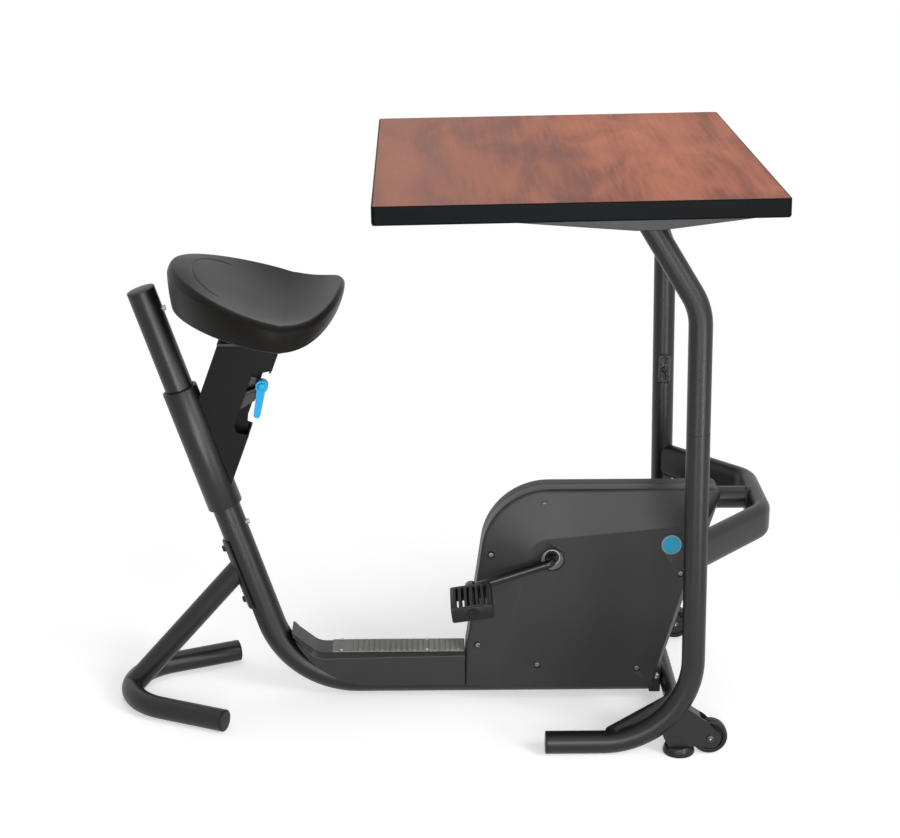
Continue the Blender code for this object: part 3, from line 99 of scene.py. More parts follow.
@dataclass(frozen=True)
class Signal:
    """A shader socket that takes part in arithmetic."""

    graph: "Graph"
    socket: NodeSocket

    def _math(self, operation: str, first: "Signal | float", second: "Signal | float") -> "Signal":
        """Add a Math node to two values."""
        return self.graph.node("ShaderNodeMath", {"operation": operation}, {0: first, 1: second})

    def __add__(self, other: "Signal | float") -> "Signal":
        """Sum."""
        return self._math("ADD", self, other)

    def __radd__(self, other: float) -> "Signal":
        """Reflected sum."""
        return self._math("ADD", other, self)

    def __sub__(self, other: "Signal | float") -> "Signal":
        """Difference."""
        return self._math("SUBTRACT", self, other)

    def __rsub__(self, other: float) -> "Signal":
        """Reflected difference."""
        return self._math("SUBTRACT", other, self)

    def __mul__(self, other: "Signal | float") -> "Signal":
        """Product."""
        return self._math("MULTIPLY", self, other)

    def __rmul__(self, other: float) -> "Signal":
        """Reflected product."""
        return self._math("MULTIPLY", other, self)


class Graph:
    """Builds the nodes of one material or world."""

    def __init__(self, tree: NodeTree) -> None:
        """Start on a node tree."""
        self.tree: NodeTree = tree

    def node(
        self,
        kind: str,
        settings: dict[str, object] | None = None,
        values: dict[int | str, object] | None = None,
        out: int | str = 0,
    ) -> Signal:
        """Add a node.

        Args:
            kind: the node's type.
            settings: its properties. Stops are a ramp's (place, colour) pairs.
            values: its sockets' values, numbers or signals.
            out: which of its outputs to return.

        Returns:
            The output.
        """
        made = self.tree.nodes.new(kind)
        for key, value in (settings or {}).items():
            if key == "stops":
                self._stops(made, value)
            else:
                setattr(made, key, value)
        for key, value in (values or {}).items():
            self.set(made.inputs[key], value)
        return Signal(self, made.outputs[out])

    @staticmethod
    def _stops(ramp: Node, stops: Sequence[tuple[float, Colour]]) -> None:
        """Give a ramp its stops.

        Args:
            ramp: the Color Ramp node.
            stops: its (place, colour) pairs.
        """
        elements = ramp.color_ramp.elements
        while len(elements) < len(stops):
            elements.new(1.0)
        for element, (place, colour) in zip(elements, stops):
            element.position = place
            element.color = (*colour, 1.0)

    def set(self, socket: NodeSocket, value: object) -> None:
        """Set or link a socket.

        Args:
            socket: the input.
            value: a signal, a number, or a colour or vector.
        """
        if isinstance(value, Signal):
            self.tree.links.new(value.socket, socket)
        elif isinstance(value, tuple) and len(value) == 3 and socket.type == "RGBA":
            socket.default_value = (*value, 1.0)
        else:
            socket.default_value = value

    def seen(self) -> Signal:
        """1 for what is seen straight, mirrored or through glass, and 0 for the light that falls on things."""
        rays = [self.node("ShaderNodeLightPath", out=f"Is {kind} Ray") for kind in ("Camera", "Glossy", "Transmission")]
        return rays[0] + rays[1] + rays[2]


class Paint(Graph):
    """Builds one material's nodes."""

    def __init__(self, name: str) -> None:
        """Start a material.

        Args:
            name: the material's name.
        """
        self.material: Material = bpy.data.materials.new(name)
        self.material.use_nodes = True
        super().__init__(self.material.node_tree)
        self.surface: Node = self.tree.nodes["Principled BSDF"]

    def coat(self, **values: object) -> None:
        """Set sockets of the surface, with underscores for spaces."""
        for key, value in values.items():
            self.set(self.surface.inputs[key.replace("_", " ")], value)

    def place(self, scale: Point3 = (1.0, 1.0, 1.0)) -> Signal:
        """Object coordinates, stretched along each axis."""
        coordinates = self.node("ShaderNodeTexCoord", out="Object")
        return self.node("ShaderNodeMapping", values={"Vector": coordinates, "Scale": scale})

    def noise(self, at: Signal, scale: float, detail: float = 3.0, rough: float = 0.5, warp: float = 0.0) -> Signal:
        """Cloudy noise from 0 to 1, by cells a metre, finer layers, their strength and a distortion."""
        values = {"Vector": at, "Scale": scale, "Detail": detail, "Roughness": rough, "Distortion": warp}
        return self.node("ShaderNodeTexNoise", values=values)

    def cells(self, at: Signal, scale: float, feature: str) -> Signal:
        """The distance pattern of random cells."""
        return self.node("ShaderNodeTexVoronoi", {"feature": feature}, {"Vector": at, "Scale": scale}, "Distance")

    def ramp(self, factor: Signal, *stops: tuple[float, Colour]) -> Signal:
        """Colours along a factor."""
        return self.node("ShaderNodeValToRGB", {"stops": stops}, {0: factor})

    def mix(self, factor: Signal | float, first: Signal | Colour, second: Signal | Colour) -> Signal:
        """Two colours by a factor."""
        return self.node("ShaderNodeMix", {"data_type": "RGBA"}, {0: factor, 6: first, 7: second}, 2)

    def span(self, factor: Signal, low: float, high: float) -> Signal:
        """A factor from 0 to 1 as a number between two others."""
        return factor * (high - low) + low

    def bump(self, height: Signal, depth: float, strength: float, over: Signal | None = None) -> Signal:
        """A bumped normal.

        Args:
            height: the height from 0 to 1.
            depth: how deep the relief is, in metres.
            strength: how much of it to use.
            over: a normal that is bumped already.

        Returns:
            The normal.
        """
        values: dict[int | str, object] = {"Height": height, "Distance": depth, "Strength": strength}
        if over:
            values["Normal"] = over
        return self.node("ShaderNodeBump", values=values)


@dataclass(frozen=True)
class Finish:
    """A finish: the record's slot that it belongs to, a colour, a roughness and how strongly it mirrors."""

    slot: str
    colour: Colour
    roughness: float
    gloss: float = 0.3

    def shaded(self, share: float) -> Colour:
        """The colour, lighter or darker by a share."""
        red, green, blue = self.colour
        return (red * share, green * share, blue * share)

    def dress(self, paint: Paint) -> None:
        """Fill in a material. Each finish has its own way."""
        paint.coat(Base_Color=self.colour, Roughness=self.roughness)

    def material(self) -> Material:
        """The finish's material, made once.

        Returns:
            The material.
        """
        name = f"{type(self).__name__} {self.slot} {self.roughness:.2f} {sum(self.colour):.3f} {self.gloss:.2f}"
        found = bpy.data.materials.get(name)
        if found:
            return found
        paint = Paint(name)
        self.dress(paint)
        paint.coat(Specular_IOR_Level=self.gloss)
        return paint.material


@dataclass(frozen=True)
class PowderCoat(Finish):
    """Baked paint on steel, with a faint orange peel and soft patches of gloss."""

    peel: float = 0.00004

    def dress(self, paint: Paint) -> None:
        """Colour, gloss and peel.

        Args:
            paint: the material's nodes.
        """
        at = paint.place()
        patches = paint.noise(at, 14.0, 3.0)
        fine = paint.noise(at, 900.0, 2.0)
        colour = paint.mix(patches, self.shaded(0.88), self.shaded(1.14))
        rough = paint.span(patches, self.roughness - 0.03, self.roughness + 0.05)
        grain = paint.bump(fine, self.peel, 0.55)
        paint.coat(Base_Color=colour, Roughness=rough + fine * 0.03, Normal=grain)


@dataclass(frozen=True)
class Moulded(Finish):
    """Injection-moulded plastic with a fine spark-eroded texture."""

    grain: float = 0.00008
    scale: float = 1500.0

    def dress(self, paint: Paint) -> None:
        """Colour and texture.

        Args:
            paint: the material's nodes.
        """
        at = paint.place()
        patches = paint.noise(at, 9.0, 4.0)
        fine = paint.noise(at, self.scale, 2.0, 0.6)
        colour = paint.mix(patches * 0.7 + fine * 0.3, self.shaded(0.86), self.shaded(1.16))
        rough = paint.span(patches, self.roughness - 0.04, self.roughness + 0.05)
        paint.coat(Base_Color=colour, Roughness=rough, Normal=paint.bump(fine, self.grain, 0.5))


@dataclass(frozen=True)
class FoamSkin(Finish):
    """The skin of a moulded foam saddle: a soft leather-like grain with soft patches of shine."""

    def dress(self, paint: Paint) -> None:
        """Grain and soft patches.

        Args:
            paint: the material's nodes.
        """
        at = paint.place()
        pores = paint.cells(at, 620.0, "DISTANCE_TO_EDGE")
        fine = paint.noise(at, 1400.0, 2.0)
        patches = paint.noise(at, 12.0, 3.0)
        colour = paint.mix(patches, self.shaded(0.85), self.shaded(1.2))
        rough = paint.span(patches, self.roughness - 0.04, self.roughness + 0.06)
        pits = paint.node("ShaderNodeMath", {"operation": "MINIMUM"}, {0: pores, 1: 0.25})
        grain = paint.bump(pits, 0.0004, 0.35)
        grain = paint.bump(fine, 0.00005, 0.4, over=grain)
        paint.coat(Base_Color=colour, Roughness=rough, Normal=grain)
        paint.coat(Sheen_Weight=0.12, Sheen_Roughness=0.5)


@dataclass(frozen=True)
class Rubber(Finish):
    """Matt rubber with dust in its pores."""

    def dress(self, paint: Paint) -> None:
        """Dull patches and pores.

        Args:
            paint: the material's nodes.
        """
        at = paint.place()
        dust = paint.noise(at, 60.0, 5.0, 0.65)
        fine = paint.noise(at, 1100.0, 2.0)
        colour = paint.mix(dust, self.shaded(0.8), self.shaded(1.5))
        rough = paint.span(dust, self.roughness - 0.08, self.roughness + 0.05)
        paint.coat(Base_Color=colour, Roughness=rough, Normal=paint.bump(fine, 0.0001, 0.5))


@dataclass(frozen=True)
class Bright(Finish):
    """Bare or plated metal with fine turning lines and smudges."""

    lines: float = 0.00002

    def dress(self, paint: Paint) -> None:
        """Metal, smudges and lines.

        Args:
            paint: the material's nodes.
        """
        at = paint.place()
        smudge = paint.noise(at, 120.0, 4.0)
        lines = paint.noise(paint.place((1.0, 9.0, 1.0)), 700.0, 2.0)
        colour = paint.mix(smudge, self.shaded(0.85), self.shaded(1.1))
        rough = paint.span(smudge, self.roughness - 0.06, self.roughness + 0.10)
        paint.coat(Base_Color=colour, Roughness=rough, Metallic=1.0, Normal=paint.bump(lines, self.lines, 0.5))


@dataclass(frozen=True)
class CherryLaminate(Finish):
    """A cherry wood print under a melamine skin: figure, bands and pores that run from the near edge to the far one."""

    pale: Colour = (0.49, 0.165, 0.084)
    dark: Colour = (0.110, 0.031, 0.024)
    # painted shade: the greyer, duller tone washed over the board towards its left
    dull: Colour = (0.240, 0.118, 0.090)

    def dress(self, paint: Paint) -> None:
        """Figure, bands, pores and the skin, with painted shade: greyer and duller towards the left, redder to the
        right.

        Args:
            paint: the material's nodes.
        """
        flame = paint.noise(paint.place((5.6, 1.3, 1.0)), 2.1, 4.0, 0.55, 0.9)
        bands = paint.noise(paint.place((9.0, 0.8, 1.0)), 1.5, 3.0, 0.6, 0.5)
        streaks = paint.noise(paint.place((34.0, 1.2, 1.0)), 5.5, 5.0, 0.62, 0.2)
        pores = paint.noise(paint.place((42.0, 1.0, 1.0)), 44.0, 2.0, 0.5)
        blend = flame * 0.46 + bands * 0.32 + streaks * 0.22
        colour = paint.ramp(
            blend,
            (0.34, self.dark),
            (0.43, (0.215, 0.061, 0.036)),
            (0.51, self.colour),
            (0.64, self.pale),
        )
        across = paint.node("ShaderNodeSeparateXYZ", values={0: paint.place()}, out=0)
        # painted shade: how much of the greyer, duller wash each point gets, more towards the left
        painted_shade_share = paint.node("ShaderNodeMapRange", values={0: across + bands * 0.24, 1: 0.42, 2: 0.0, 3: 0.0, 4: 0.62})
        colour = paint.mix(painted_shade_share, colour, self.dull)
        thin = paint.ramp(pores, (0.60, (0.0, 0.0, 0.0)), (0.74, (1.0, 1.0, 1.0)))
        colour = paint.mix(thin * 0.28, colour, (0.06, 0.018, 0.013))
        rough = paint.span(streaks, self.roughness - 0.05, self.roughness + 0.06)
        paint.coat(Base_Color=colour, Roughness=rough, Normal=paint.bump(pores, 0.00004, 0.3))


SATIN_BLACK = PowderCoat("satin_black", (0.0035, 0.0036, 0.0038), 0.36, 0.42)
POST_BLACK = PowderCoat("satin_black", (0.0060, 0.0060, 0.0062), 0.44, 0.10)
GLOSS_BLACK = PowderCoat("satin_black", (0.0040, 0.0040, 0.0042), 0.22, 0.40)
HOUSING_BLACK = Moulded("moulded_black", (0.0150, 0.0144, 0.0140), 0.44, 0.34)
COVER_BLACK = Moulded("moulded_black", (0.0150, 0.0147, 0.0143), 0.43, 0.34)
PLUG_BLACK = Moulded("moulded_black", (0.0080, 0.0080, 0.0083), 0.42, 0.20)
CAP_BLACK = Moulded("moulded_black", (0.0500, 0.0500, 0.0500), 0.50, 0.25)
PEDAL_BLACK = Moulded("moulded_black", (0.0080, 0.0080, 0.0080), 0.44, 0.18, grain=0.0001)
SADDLE_SKIN = FoamSkin("vinyl", (0.0050, 0.0044, 0.0036), 0.42, 0.09)
TREAD = Rubber("tread_grey", (0.200, 0.198, 0.190), 0.62, 0.25)
BLACK_RUBBER = Rubber("rubber", (0.0060, 0.0060, 0.0062), 0.34, 0.30)
TYRE_RUBBER = Rubber("rubber", (0.0095, 0.0095, 0.0097), 0.44, 0.22)
ZINC = Bright("steel", (0.50, 0.50, 0.51), 0.34)
DARK_STEEL = Bright("steel", (0.070, 0.070, 0.074), 0.42)
SCREW_GREY = Bright("steel", (0.140, 0.140, 0.144), 0.44)
DISH_STEEL = Bright("steel", (0.620, 0.620, 0.630), 0.52)
BLACK_STEEL = Bright("steel", (0.0180, 0.0180, 0.0190), 0.38)
BRIGHT_STEEL = Bright("steel", (0.66, 0.66, 0.67), 0.24)
IRON = Bright("cast_iron", (0.17, 0.17, 0.175), 0.52, lines=0.00005)
LEVER_BLUE = Moulded("lever_blue", (0.013, 0.360, 0.700), 0.38, 0.20, grain=0.00003)
TEAL = Moulded("badge_teal", (0.022, 0.270, 0.430), 0.30, 0.35, grain=0.00002, scale=900.0)
PALE_RIM = Moulded("badge_teal", (0.20, 0.26, 0.29), 0.34, 0.35, grain=0.00002)
CHERRY = CherryLaminate("cherry", (0.355, 0.105, 0.056), 0.46, 0.06)
EDGE_BLACK = Moulded("edge_black", (0.0042, 0.0052, 0.0066), 0.42, 0.05, grain=0.00005)


# Shapes


def sphere_arc(before: Vector, corner: Vector, after: Vector, radius: float) -> tuple[Vector, Vector, float, float]:
    """The arc that rounds a corner of a path.

    Args:
        before: the point before the corner.
        corner: the corner.
        after: the point after it.
        radius: the arc's radius.

    Returns:
        The arc's centre, its axis, its angle and how much of each straight it takes.
    """
    into, out = (corner - before).normalized(), (after - corner).normalized()
    angle = into.angle(out)
    centre = corner + (out - into).normalized() * radius / math.cos(angle / 2)
    return centre, into.cross(out).normalized(), angle, radius * math.tan(angle / 2)


def rounded(corners: Sequence[Point2], radii: Sequence[float], steps: int = 6) -> list[Point2]:
    """A closed outline with rounded corners.

    Args:
        corners: the outline's corners.
        radii: each corner's radius, or 0 to keep it.
        steps: how many pieces each arc has.

    Returns:
        The outline's points. Each rounded corner gives steps + 1 of them.
    """
    points = [Vector((*corner, 0.0)) for corner in corners]
    outline: list[Point2] = []
    for k, radius in enumerate(radii):
        corner = points[k]
        if not radius:
            outline.append((corner.x, corner.y))
            continue
        before, after = points[k - 1], points[(k + 1) % len(points)]
        centre, axis, angle, reach = sphere_arc(before, corner, after, radius)
        start = corner - (corner - before).normalized() * reach - centre
        for step in range(steps + 1):
            place = centre + Matrix.Rotation(angle * step / steps, 3, axis) @ start
            outline.append((place.x, place.y))
    return outline


def circle(centre: Point2, radius: float, count: int) -> list[Point2]:
    """Points round a circle."""
    turn = 2 * math.pi / count
    return [(centre[0] + radius * math.cos(turn * k), centre[1] + radius * math.sin(turn * k)) for k in range(count)]


def oblong(x: float, z: float, radius: float, steps: int) -> list[Point2]:
    """An oblong round the origin, from half its width and height, with rounded corners."""
    return rounded([(-x, -z), (x, -z), (x, z), (-x, z)], [radius] * 4, steps)


def aligned(at: Vector, along: Vector) -> Matrix:
    """A placement at a point, with Z along a direction."""
    return Matrix.Translation(at) @ along.normalized().to_track_quat("Z", "Y").to_matrix().to_4x4()


class Form:
    """A shape in the making, with the operations that the bike's pieces need."""

    def __init__(self) -> None:
        """Start an empty shape."""
        self.mesh: BMesh = bmesh.new()

    @classmethod
    def of_node(cls, node: str) -> "Form":
        """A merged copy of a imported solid's surface.

        Args:
            node: the solid's name.

        Returns:
            The shape.
        """
        form = cls()
        form.mesh.from_mesh(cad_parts[node].data)
        bmesh.ops.remove_doubles(form.mesh, verts=form.mesh.verts, dist=WELD)
        verts, edges = form.mesh.verts, form.mesh.edges
        bmesh.ops.dissolve_limit(form.mesh, angle_limit=FLAT, verts=verts, edges=edges, delimit={"NORMAL"})
        return form

    def ring(self, points: Iterable[Vector]) -> list[BMEdge]:
        """A closed loop of edges through points."""
        verts = [self.mesh.verts.new(point) for point in points]
        return [self.mesh.edges.new((verts[k - 1], verts[k])) for k in range(len(verts))]

    def bridge(self, *rings: list[BMEdge]) -> "Form":
        """Join each ring of edges to the next.

        Args:
            rings: the rings, in order.

        Returns:
            The shape.
        """
        for first, second in zip(rings, rings[1:]):
            bmesh.ops.bridge_loops(self.mesh, edges=[*first, *second])
        return self

    def close(self, *rings: list[BMEdge]) -> "Form":
        """Fill each ring with a face.

        Args:
            rings: the rings.

        Returns:
            The shape.
        """
        for edges in rings:
            bmesh.ops.contextual_create(self.mesh, geom=edges)
        return self

    def fill(self, edges: list[BMEdge]) -> "Form":
        """Fill an outline that has holes."""
        bmesh.ops.triangle_fill(self.mesh, use_beauty=True, use_dissolve=False, edges=edges)
        return self

    def outward(self) -> "Form":
        """Merge what coincides and point every face out.

        Returns:
            The shape.
        """
        bmesh.ops.remove_doubles(self.mesh, verts=self.mesh.verts, dist=TINY)
        bmesh.ops.recalc_face_normals(self.mesh, faces=self.mesh.faces)
        return self

    def thicken(self, step: Point3) -> "Form":
        """Give flat faces thickness.

        Args:
            step: how far they are extruded, and which way.

        Returns:
            The shape.
        """
        made = bmesh.ops.extrude_face_region(self.mesh, geom=self.mesh.faces[:])["geom"]
        verts = [item for item in made if isinstance(item, BMVert)]
        bmesh.ops.translate(self.mesh, verts=verts, vec=step)
        return self.outward()

    def join(self, *others: "Form") -> "Form":
        """Take in other shapes.

        Args:
            others: the other shapes.

        Returns:
            The shape.
        """
        for other in others:
            spare = bpy.data.meshes.new("spare")
            other.mesh.to_mesh(spare)
            self.mesh.from_mesh(spare)
            bpy.data.meshes.remove(spare)
        return self

    def placed(self, matrix: Matrix) -> "Form":
        """Move the whole shape."""
        bmesh.ops.transform(self.mesh, matrix=matrix, verts=self.mesh.verts)
        return self

    def moved(self, rule: Callable[[Vector], Vector]) -> "Form":
        """Move each point by a rule.

        Args:
            rule: what gives a point its new place.

        Returns:
            The shape.
        """
        for vert in self.mesh.verts:
            vert.co = rule(vert.co.copy())
        return self

    def soften(self, width: float, segments: int = 2, sharper: float = 25.0, most: float = 180.0) -> "Form":
        """Round the edges whose faces meet at more than an angle.

        Args:
            width: the rounding's width.
            segments: its pieces.
            sharper: the least angle, in degrees.
            most: the greatest angle, in degrees.

        Returns:
            The shape.
        """
        low, high = math.radians(sharper), math.radians(most)
        edges = [edge for edge in self.mesh.edges if len(edge.link_faces) == 2]
        edges = [edge for edge in edges if low < edge.calc_face_angle(0.0) <= high]
        bmesh.ops.bevel(
            self.mesh,
            geom=edges,
            offset=width,
            offset_type="OFFSET",
            segments=segments,
            profile=0.5,
            affect="EDGES",
            clamp_overlap=True,
            material=-1,
        )
        return self

    def sweep(
        self, section: Sequence[Point2], corners: Sequence[Vector], radii: Sequence[float], upright: Vector
    ) -> tuple[list[BMEdge], list[BMEdge]]:
        """Carry a section along a path of straights and bends.

        Args:
            section: the section's points, as (right, up).
            corners: the path's corners.
            radii: the radius of each inner corner's bend.
            upright: the section's up at the start.

        Returns:
            The first and the last ring of edges.
        """
        heading = (corners[1] - corners[0]).normalized()
        right = heading.cross(upright).normalized()
        top = right.cross(heading).normalized()
        first = self.ring(corners[0] + right * x + top * y for x, y in section)
        edges, start = first, corners[0]
        for before, corner, after, radius in zip(corners, corners[1:], corners[2:], radii):
            centre, axis, angle, reach = sphere_arc(before, corner, after, radius)
            end = corner - (corner - before).normalized() * reach
            edges = self._straight(edges, end - start)
            edges = self._bend(edges, centre, axis, angle)
            start = corner + (after - corner).normalized() * reach
        return first, self._straight(edges, corners[-1] - start)

    def _straight(self, edges: list[BMEdge], step: Vector) -> list[BMEdge]:
        """Extrude a ring along a straight.

        Args:
            edges: the ring.
            step: the straight's direction and length.

        Returns:
            The new ring.
        """
        if step.length < TINY:
            return edges
        made = bmesh.ops.extrude_edge_only(self.mesh, edges=edges)["geom"]
        verts = [item for item in made if isinstance(item, BMVert)]
        bmesh.ops.translate(self.mesh, verts=verts, vec=step)
        new = set(verts)
        return [item for item in made if isinstance(item, BMEdge) and set(item.verts) <= new]

    def _bend(self, edges: list[BMEdge], centre: Vector, axis: Vector, angle: float) -> list[BMEdge]:
        """Spin a ring round a bend.

        Args:
            edges: the ring.
            centre: the bend's centre.
            axis: its axis.
            angle: its angle in radians.

        Returns:
            The new ring.
        """
        steps = max(2, math.ceil(angle / math.radians(4.0)))
        turn = {"cent": centre, "axis": axis, "angle": angle, "steps": steps}
        made = bmesh.ops.spin(self.mesh, geom=edges, **turn, use_merge=False, use_duplicate=False)
        return [item for item in made["geom_last"] if isinstance(item, BMEdge)]

    def tube(self, radius: float, corners: Sequence[Vector], radii: Sequence[float], sides: int) -> "Form":
        """A closed round tube along a path.

        Args:
            radius: the tube's radius.
            corners: the path's corners.
            radii: the radius of each bend.
            sides: how many sides it has.

        Returns:
            The shape.
        """
        heading = corners[1] - corners[0]
        upright = UP if abs(heading.normalized().z) < 0.9 else FORWARD
        ends = self.sweep(circle((0.0, 0.0), radius, sides), corners, radii, upright)
        return self.close(*ends).outward()

    def lathe(self, profile: Sequence[Point2], at: Vector, along: Vector, steps: int = 40) -> "Form":
        """A turned shape.

        Args:
            profile: its (radius, height) points. It closes on itself unless its ends are on the axis.
            at: the point at height 0.
            along: the axis.
            steps: how many sides it has.

        Returns:
            The shape.
        """
        turned = Form()
        verts = [turned.mesh.verts.new((radius, 0.0, height)) for radius, height in profile]
        pairs = list(zip(verts, verts[1:]))
        if profile[0][0] > 0.0:
            pairs.append((verts[-1], verts[0]))
        edges = [turned.mesh.edges.new(pair) for pair in pairs]
        bmesh.ops.spin(
            turned.mesh,
            geom=[*verts, *edges],
            cent=(0.0, 0.0, 0.0),
            axis=(0.0, 0.0, 1.0),
            angle=2 * math.pi,
            steps=steps,
            use_merge=True,
            use_duplicate=False,
        )
        turned.outward().placed(aligned(at, along))
        return self.join(turned)

    def slab(
        self, outline: Sequence[Point2], low: float, high: float, holes: Sequence[Sequence[Point2]] = ()
    ) -> "Form":
        """A flat shape in the X-Z plane, given thickness along Y.

        Args:
            outline: its outer outline.
            low: its lower Y.
            high: its higher Y.
            holes: the outlines of its holes.

        Returns:
            The shape.
        """
        flat = Form()
        edges: list[BMEdge] = []
        for loop in (outline, *holes):
            edges += flat.ring(Vector((x, low, z)) for x, z in loop)
        if holes:
            flat.fill(edges)
        else:
            flat.close(edges)
        return self.join(flat.thicken((0.0, high - low, 0.0)))

    def box(self, low: Point3, high: Point3) -> "Form":
        """A box between two corners.

        Args:
            low: its lowest corner.
            high: its highest corner.

        Returns:
            The shape.
        """
        start, end = Vector(low), Vector(high)
        place = Matrix.Translation((start + end) / 2) @ Matrix.Diagonal((*(end - start), 1.0))
        bmesh.ops.create_cube(self.mesh, size=1.0, matrix=place)
        return self

    def stood_up(self) -> "Form":
        """Turn a flat shape made in X-Z so that its Z becomes Y and its thickness runs up."""
        return self.moved(lambda point: Vector((point.x, point.z, point.y))).outward()


class Bench:
    """Turns finished shapes into pieces of the bike."""

    def place(
        self,
        form: Form,
        name: str,
        finish: Finish,
        *replaced: str,
        body: Body = Body.FRAME,
        crease: float = 32.0,
        flat: bool = False,
    ) -> Object:
        """Make a piece.

        Args:
            form: its shape.
            name: its name.
            finish: its finish.
            replaced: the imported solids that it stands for.
            body: what it rides on.
            crease: the angle over which an edge stays sharp, in degrees.
            flat: whether large flat faces keep their own shading beside rounded edges.

        Returns:
            The piece.
        """
        mesh = bpy.data.meshes.new(name)
        form.mesh.to_mesh(mesh)
        form.mesh.free()
        mesh.shade_smooth()
        mesh.set_sharp_from_angle(angle=math.radians(crease))
        piece = bpy.data.objects.new(name, mesh)
        bpy.context.scene.collection.objects.link(piece)
        mesh.materials.append(finish.material())
        if flat:
            weighted = piece.modifiers.new("flat faces", "WEIGHTED_NORMAL")
            weighted.keep_sharp = True
        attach(piece, body.value)
        if replaced:
            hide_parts(*replaced)
        LOG.info("%s: %d faces", name, len(mesh.polygons))
        return piece

    def redress(self, finish: Finish, *nodes: str) -> None:
        """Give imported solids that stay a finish.

        Args:
            finish: the finish.
            nodes: the solids' names.
        """
        for node in nodes:
            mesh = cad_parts[node].data
            for slot in range(max(1, len(mesh.materials))):
                if slot < len(mesh.materials):
                    mesh.materials[slot] = finish.material()
                else:
                    mesh.materials.append(finish.material())
            LOG.info("%s: new finish", node)

    def refine(self, finish: Finish, width: float, *nodes: str, body: Body = Body.FRAME) -> None:
        """Stand pieces with rounded edges in for flat-faced solids.

        Args:
            finish: their finish.
            width: the rounding's width.
            nodes: the solids' names.
            body: what they ride on.
        """
        for node in nodes:
            form = Form.of_node(node).soften(width, 2, 40.0)
            self.place(form, f"{node}_fine", finish, node, body=body, crease=50.0, flat=True)


class HeadStyle(Enum):
    """The heads that fasteners have."""

    HEX = "hex"
    DOME = "dome"
    PAN = "pan"


@dataclass(frozen=True)
class Fastener:
    """A screw or bolt head with its drive recess."""

    radius: float
    height: float
    style: HeadStyle = HeadStyle.PAN
    shank: float = 0.004

    def form(self, at: Vector, out: Vector) -> Form:
        """The head on a surface.

        Args:
            at: the point on the surface under its middle.
            out: the surface's outward direction.

        Returns:
            The shape.
        """
        r, h = self.radius, self.height
        if self.style is HeadStyle.HEX:
            form = Form()
            ring = form.ring(Vector((x, y, 0.0)) for x, y in circle((0.0, 0.0), r, 6))
            form.close(ring).thicken((0.0, 0.0, h)).soften(r * 0.09, 2, 40.0)
            washer = [(r * 1.18, 0.0), (r * 1.18, h * 0.16), (r * 0.5, h * 0.17), (r * 0.5, 0.0)]
            form.join(Form().lathe(washer, Vector(), UP, 32))
            return form.placed(aligned(at, out))
        socket = r * 0.42
        if self.style is HeadStyle.DOME:
            top = [(r * math.cos(a), h * math.sin(a)) for a in (0.0, 0.25, 0.5, 0.75, 1.0)]
            deep = h * 0.35
        else:
            top = [(r, 0.0), (r, h * 0.45), (r * 0.93, h * 0.75), (r * 0.75, h * 0.95)]
            deep = h * 0.45
        rim = [(socket * 1.08, h), (socket, h * 0.96), (socket * 0.92, deep), (0.0, deep * 0.9)]
        return Form().lathe([(0.0, -self.shank), (r * 0.45, -self.shank), (r * 0.45, 0.0), *top, *rim], at, out, 24)

    def forms(self, places: Iterable[tuple[Vector, Vector]]) -> Form:
        """Heads at several places.

        Args:
            places: for each head, a point on the surface and the surface's outward direction.

        Returns:
            The heads.
        """
        heads = Form()
        for at, out in places:
            heads.join(self.form(at, out))
        return heads


def bead(at: Vector, along: Vector, radius: float, thick: float = 0.0022) -> Form:
    """A weld bead round a tube.

    Args:
        at: the middle of the joint.
        along: the tube's direction.
        radius: the tube's radius.
        thick: the bead's thickness.

    Returns:
        The shape.
    """
    arc = [(radius - 0.0005 + thick * math.cos(a), thick * math.sin(a)) for a in (2.2, 1.4, 0.6, -0.2, -1.0, -1.8)]
    form = Form().lathe(arc, at, along, 72)
    axis = along.normalized()

    def ripple(point: Vector) -> Vector:
        """Swell the bead in small even steps round the tube.

        Args:
            point: a point of the bead.

        Returns:
            The point, moved out or in.
        """
        out = point - at - axis * (point - at).dot(axis)
        side = axis.orthogonal().normalized()
        angle = math.atan2(out.dot(axis.cross(side)), out.dot(side))
        return point + out.normalized() * 0.00035 * math.sin(angle * 24)

    return form.moved(ripple)


# Sub-assemblies


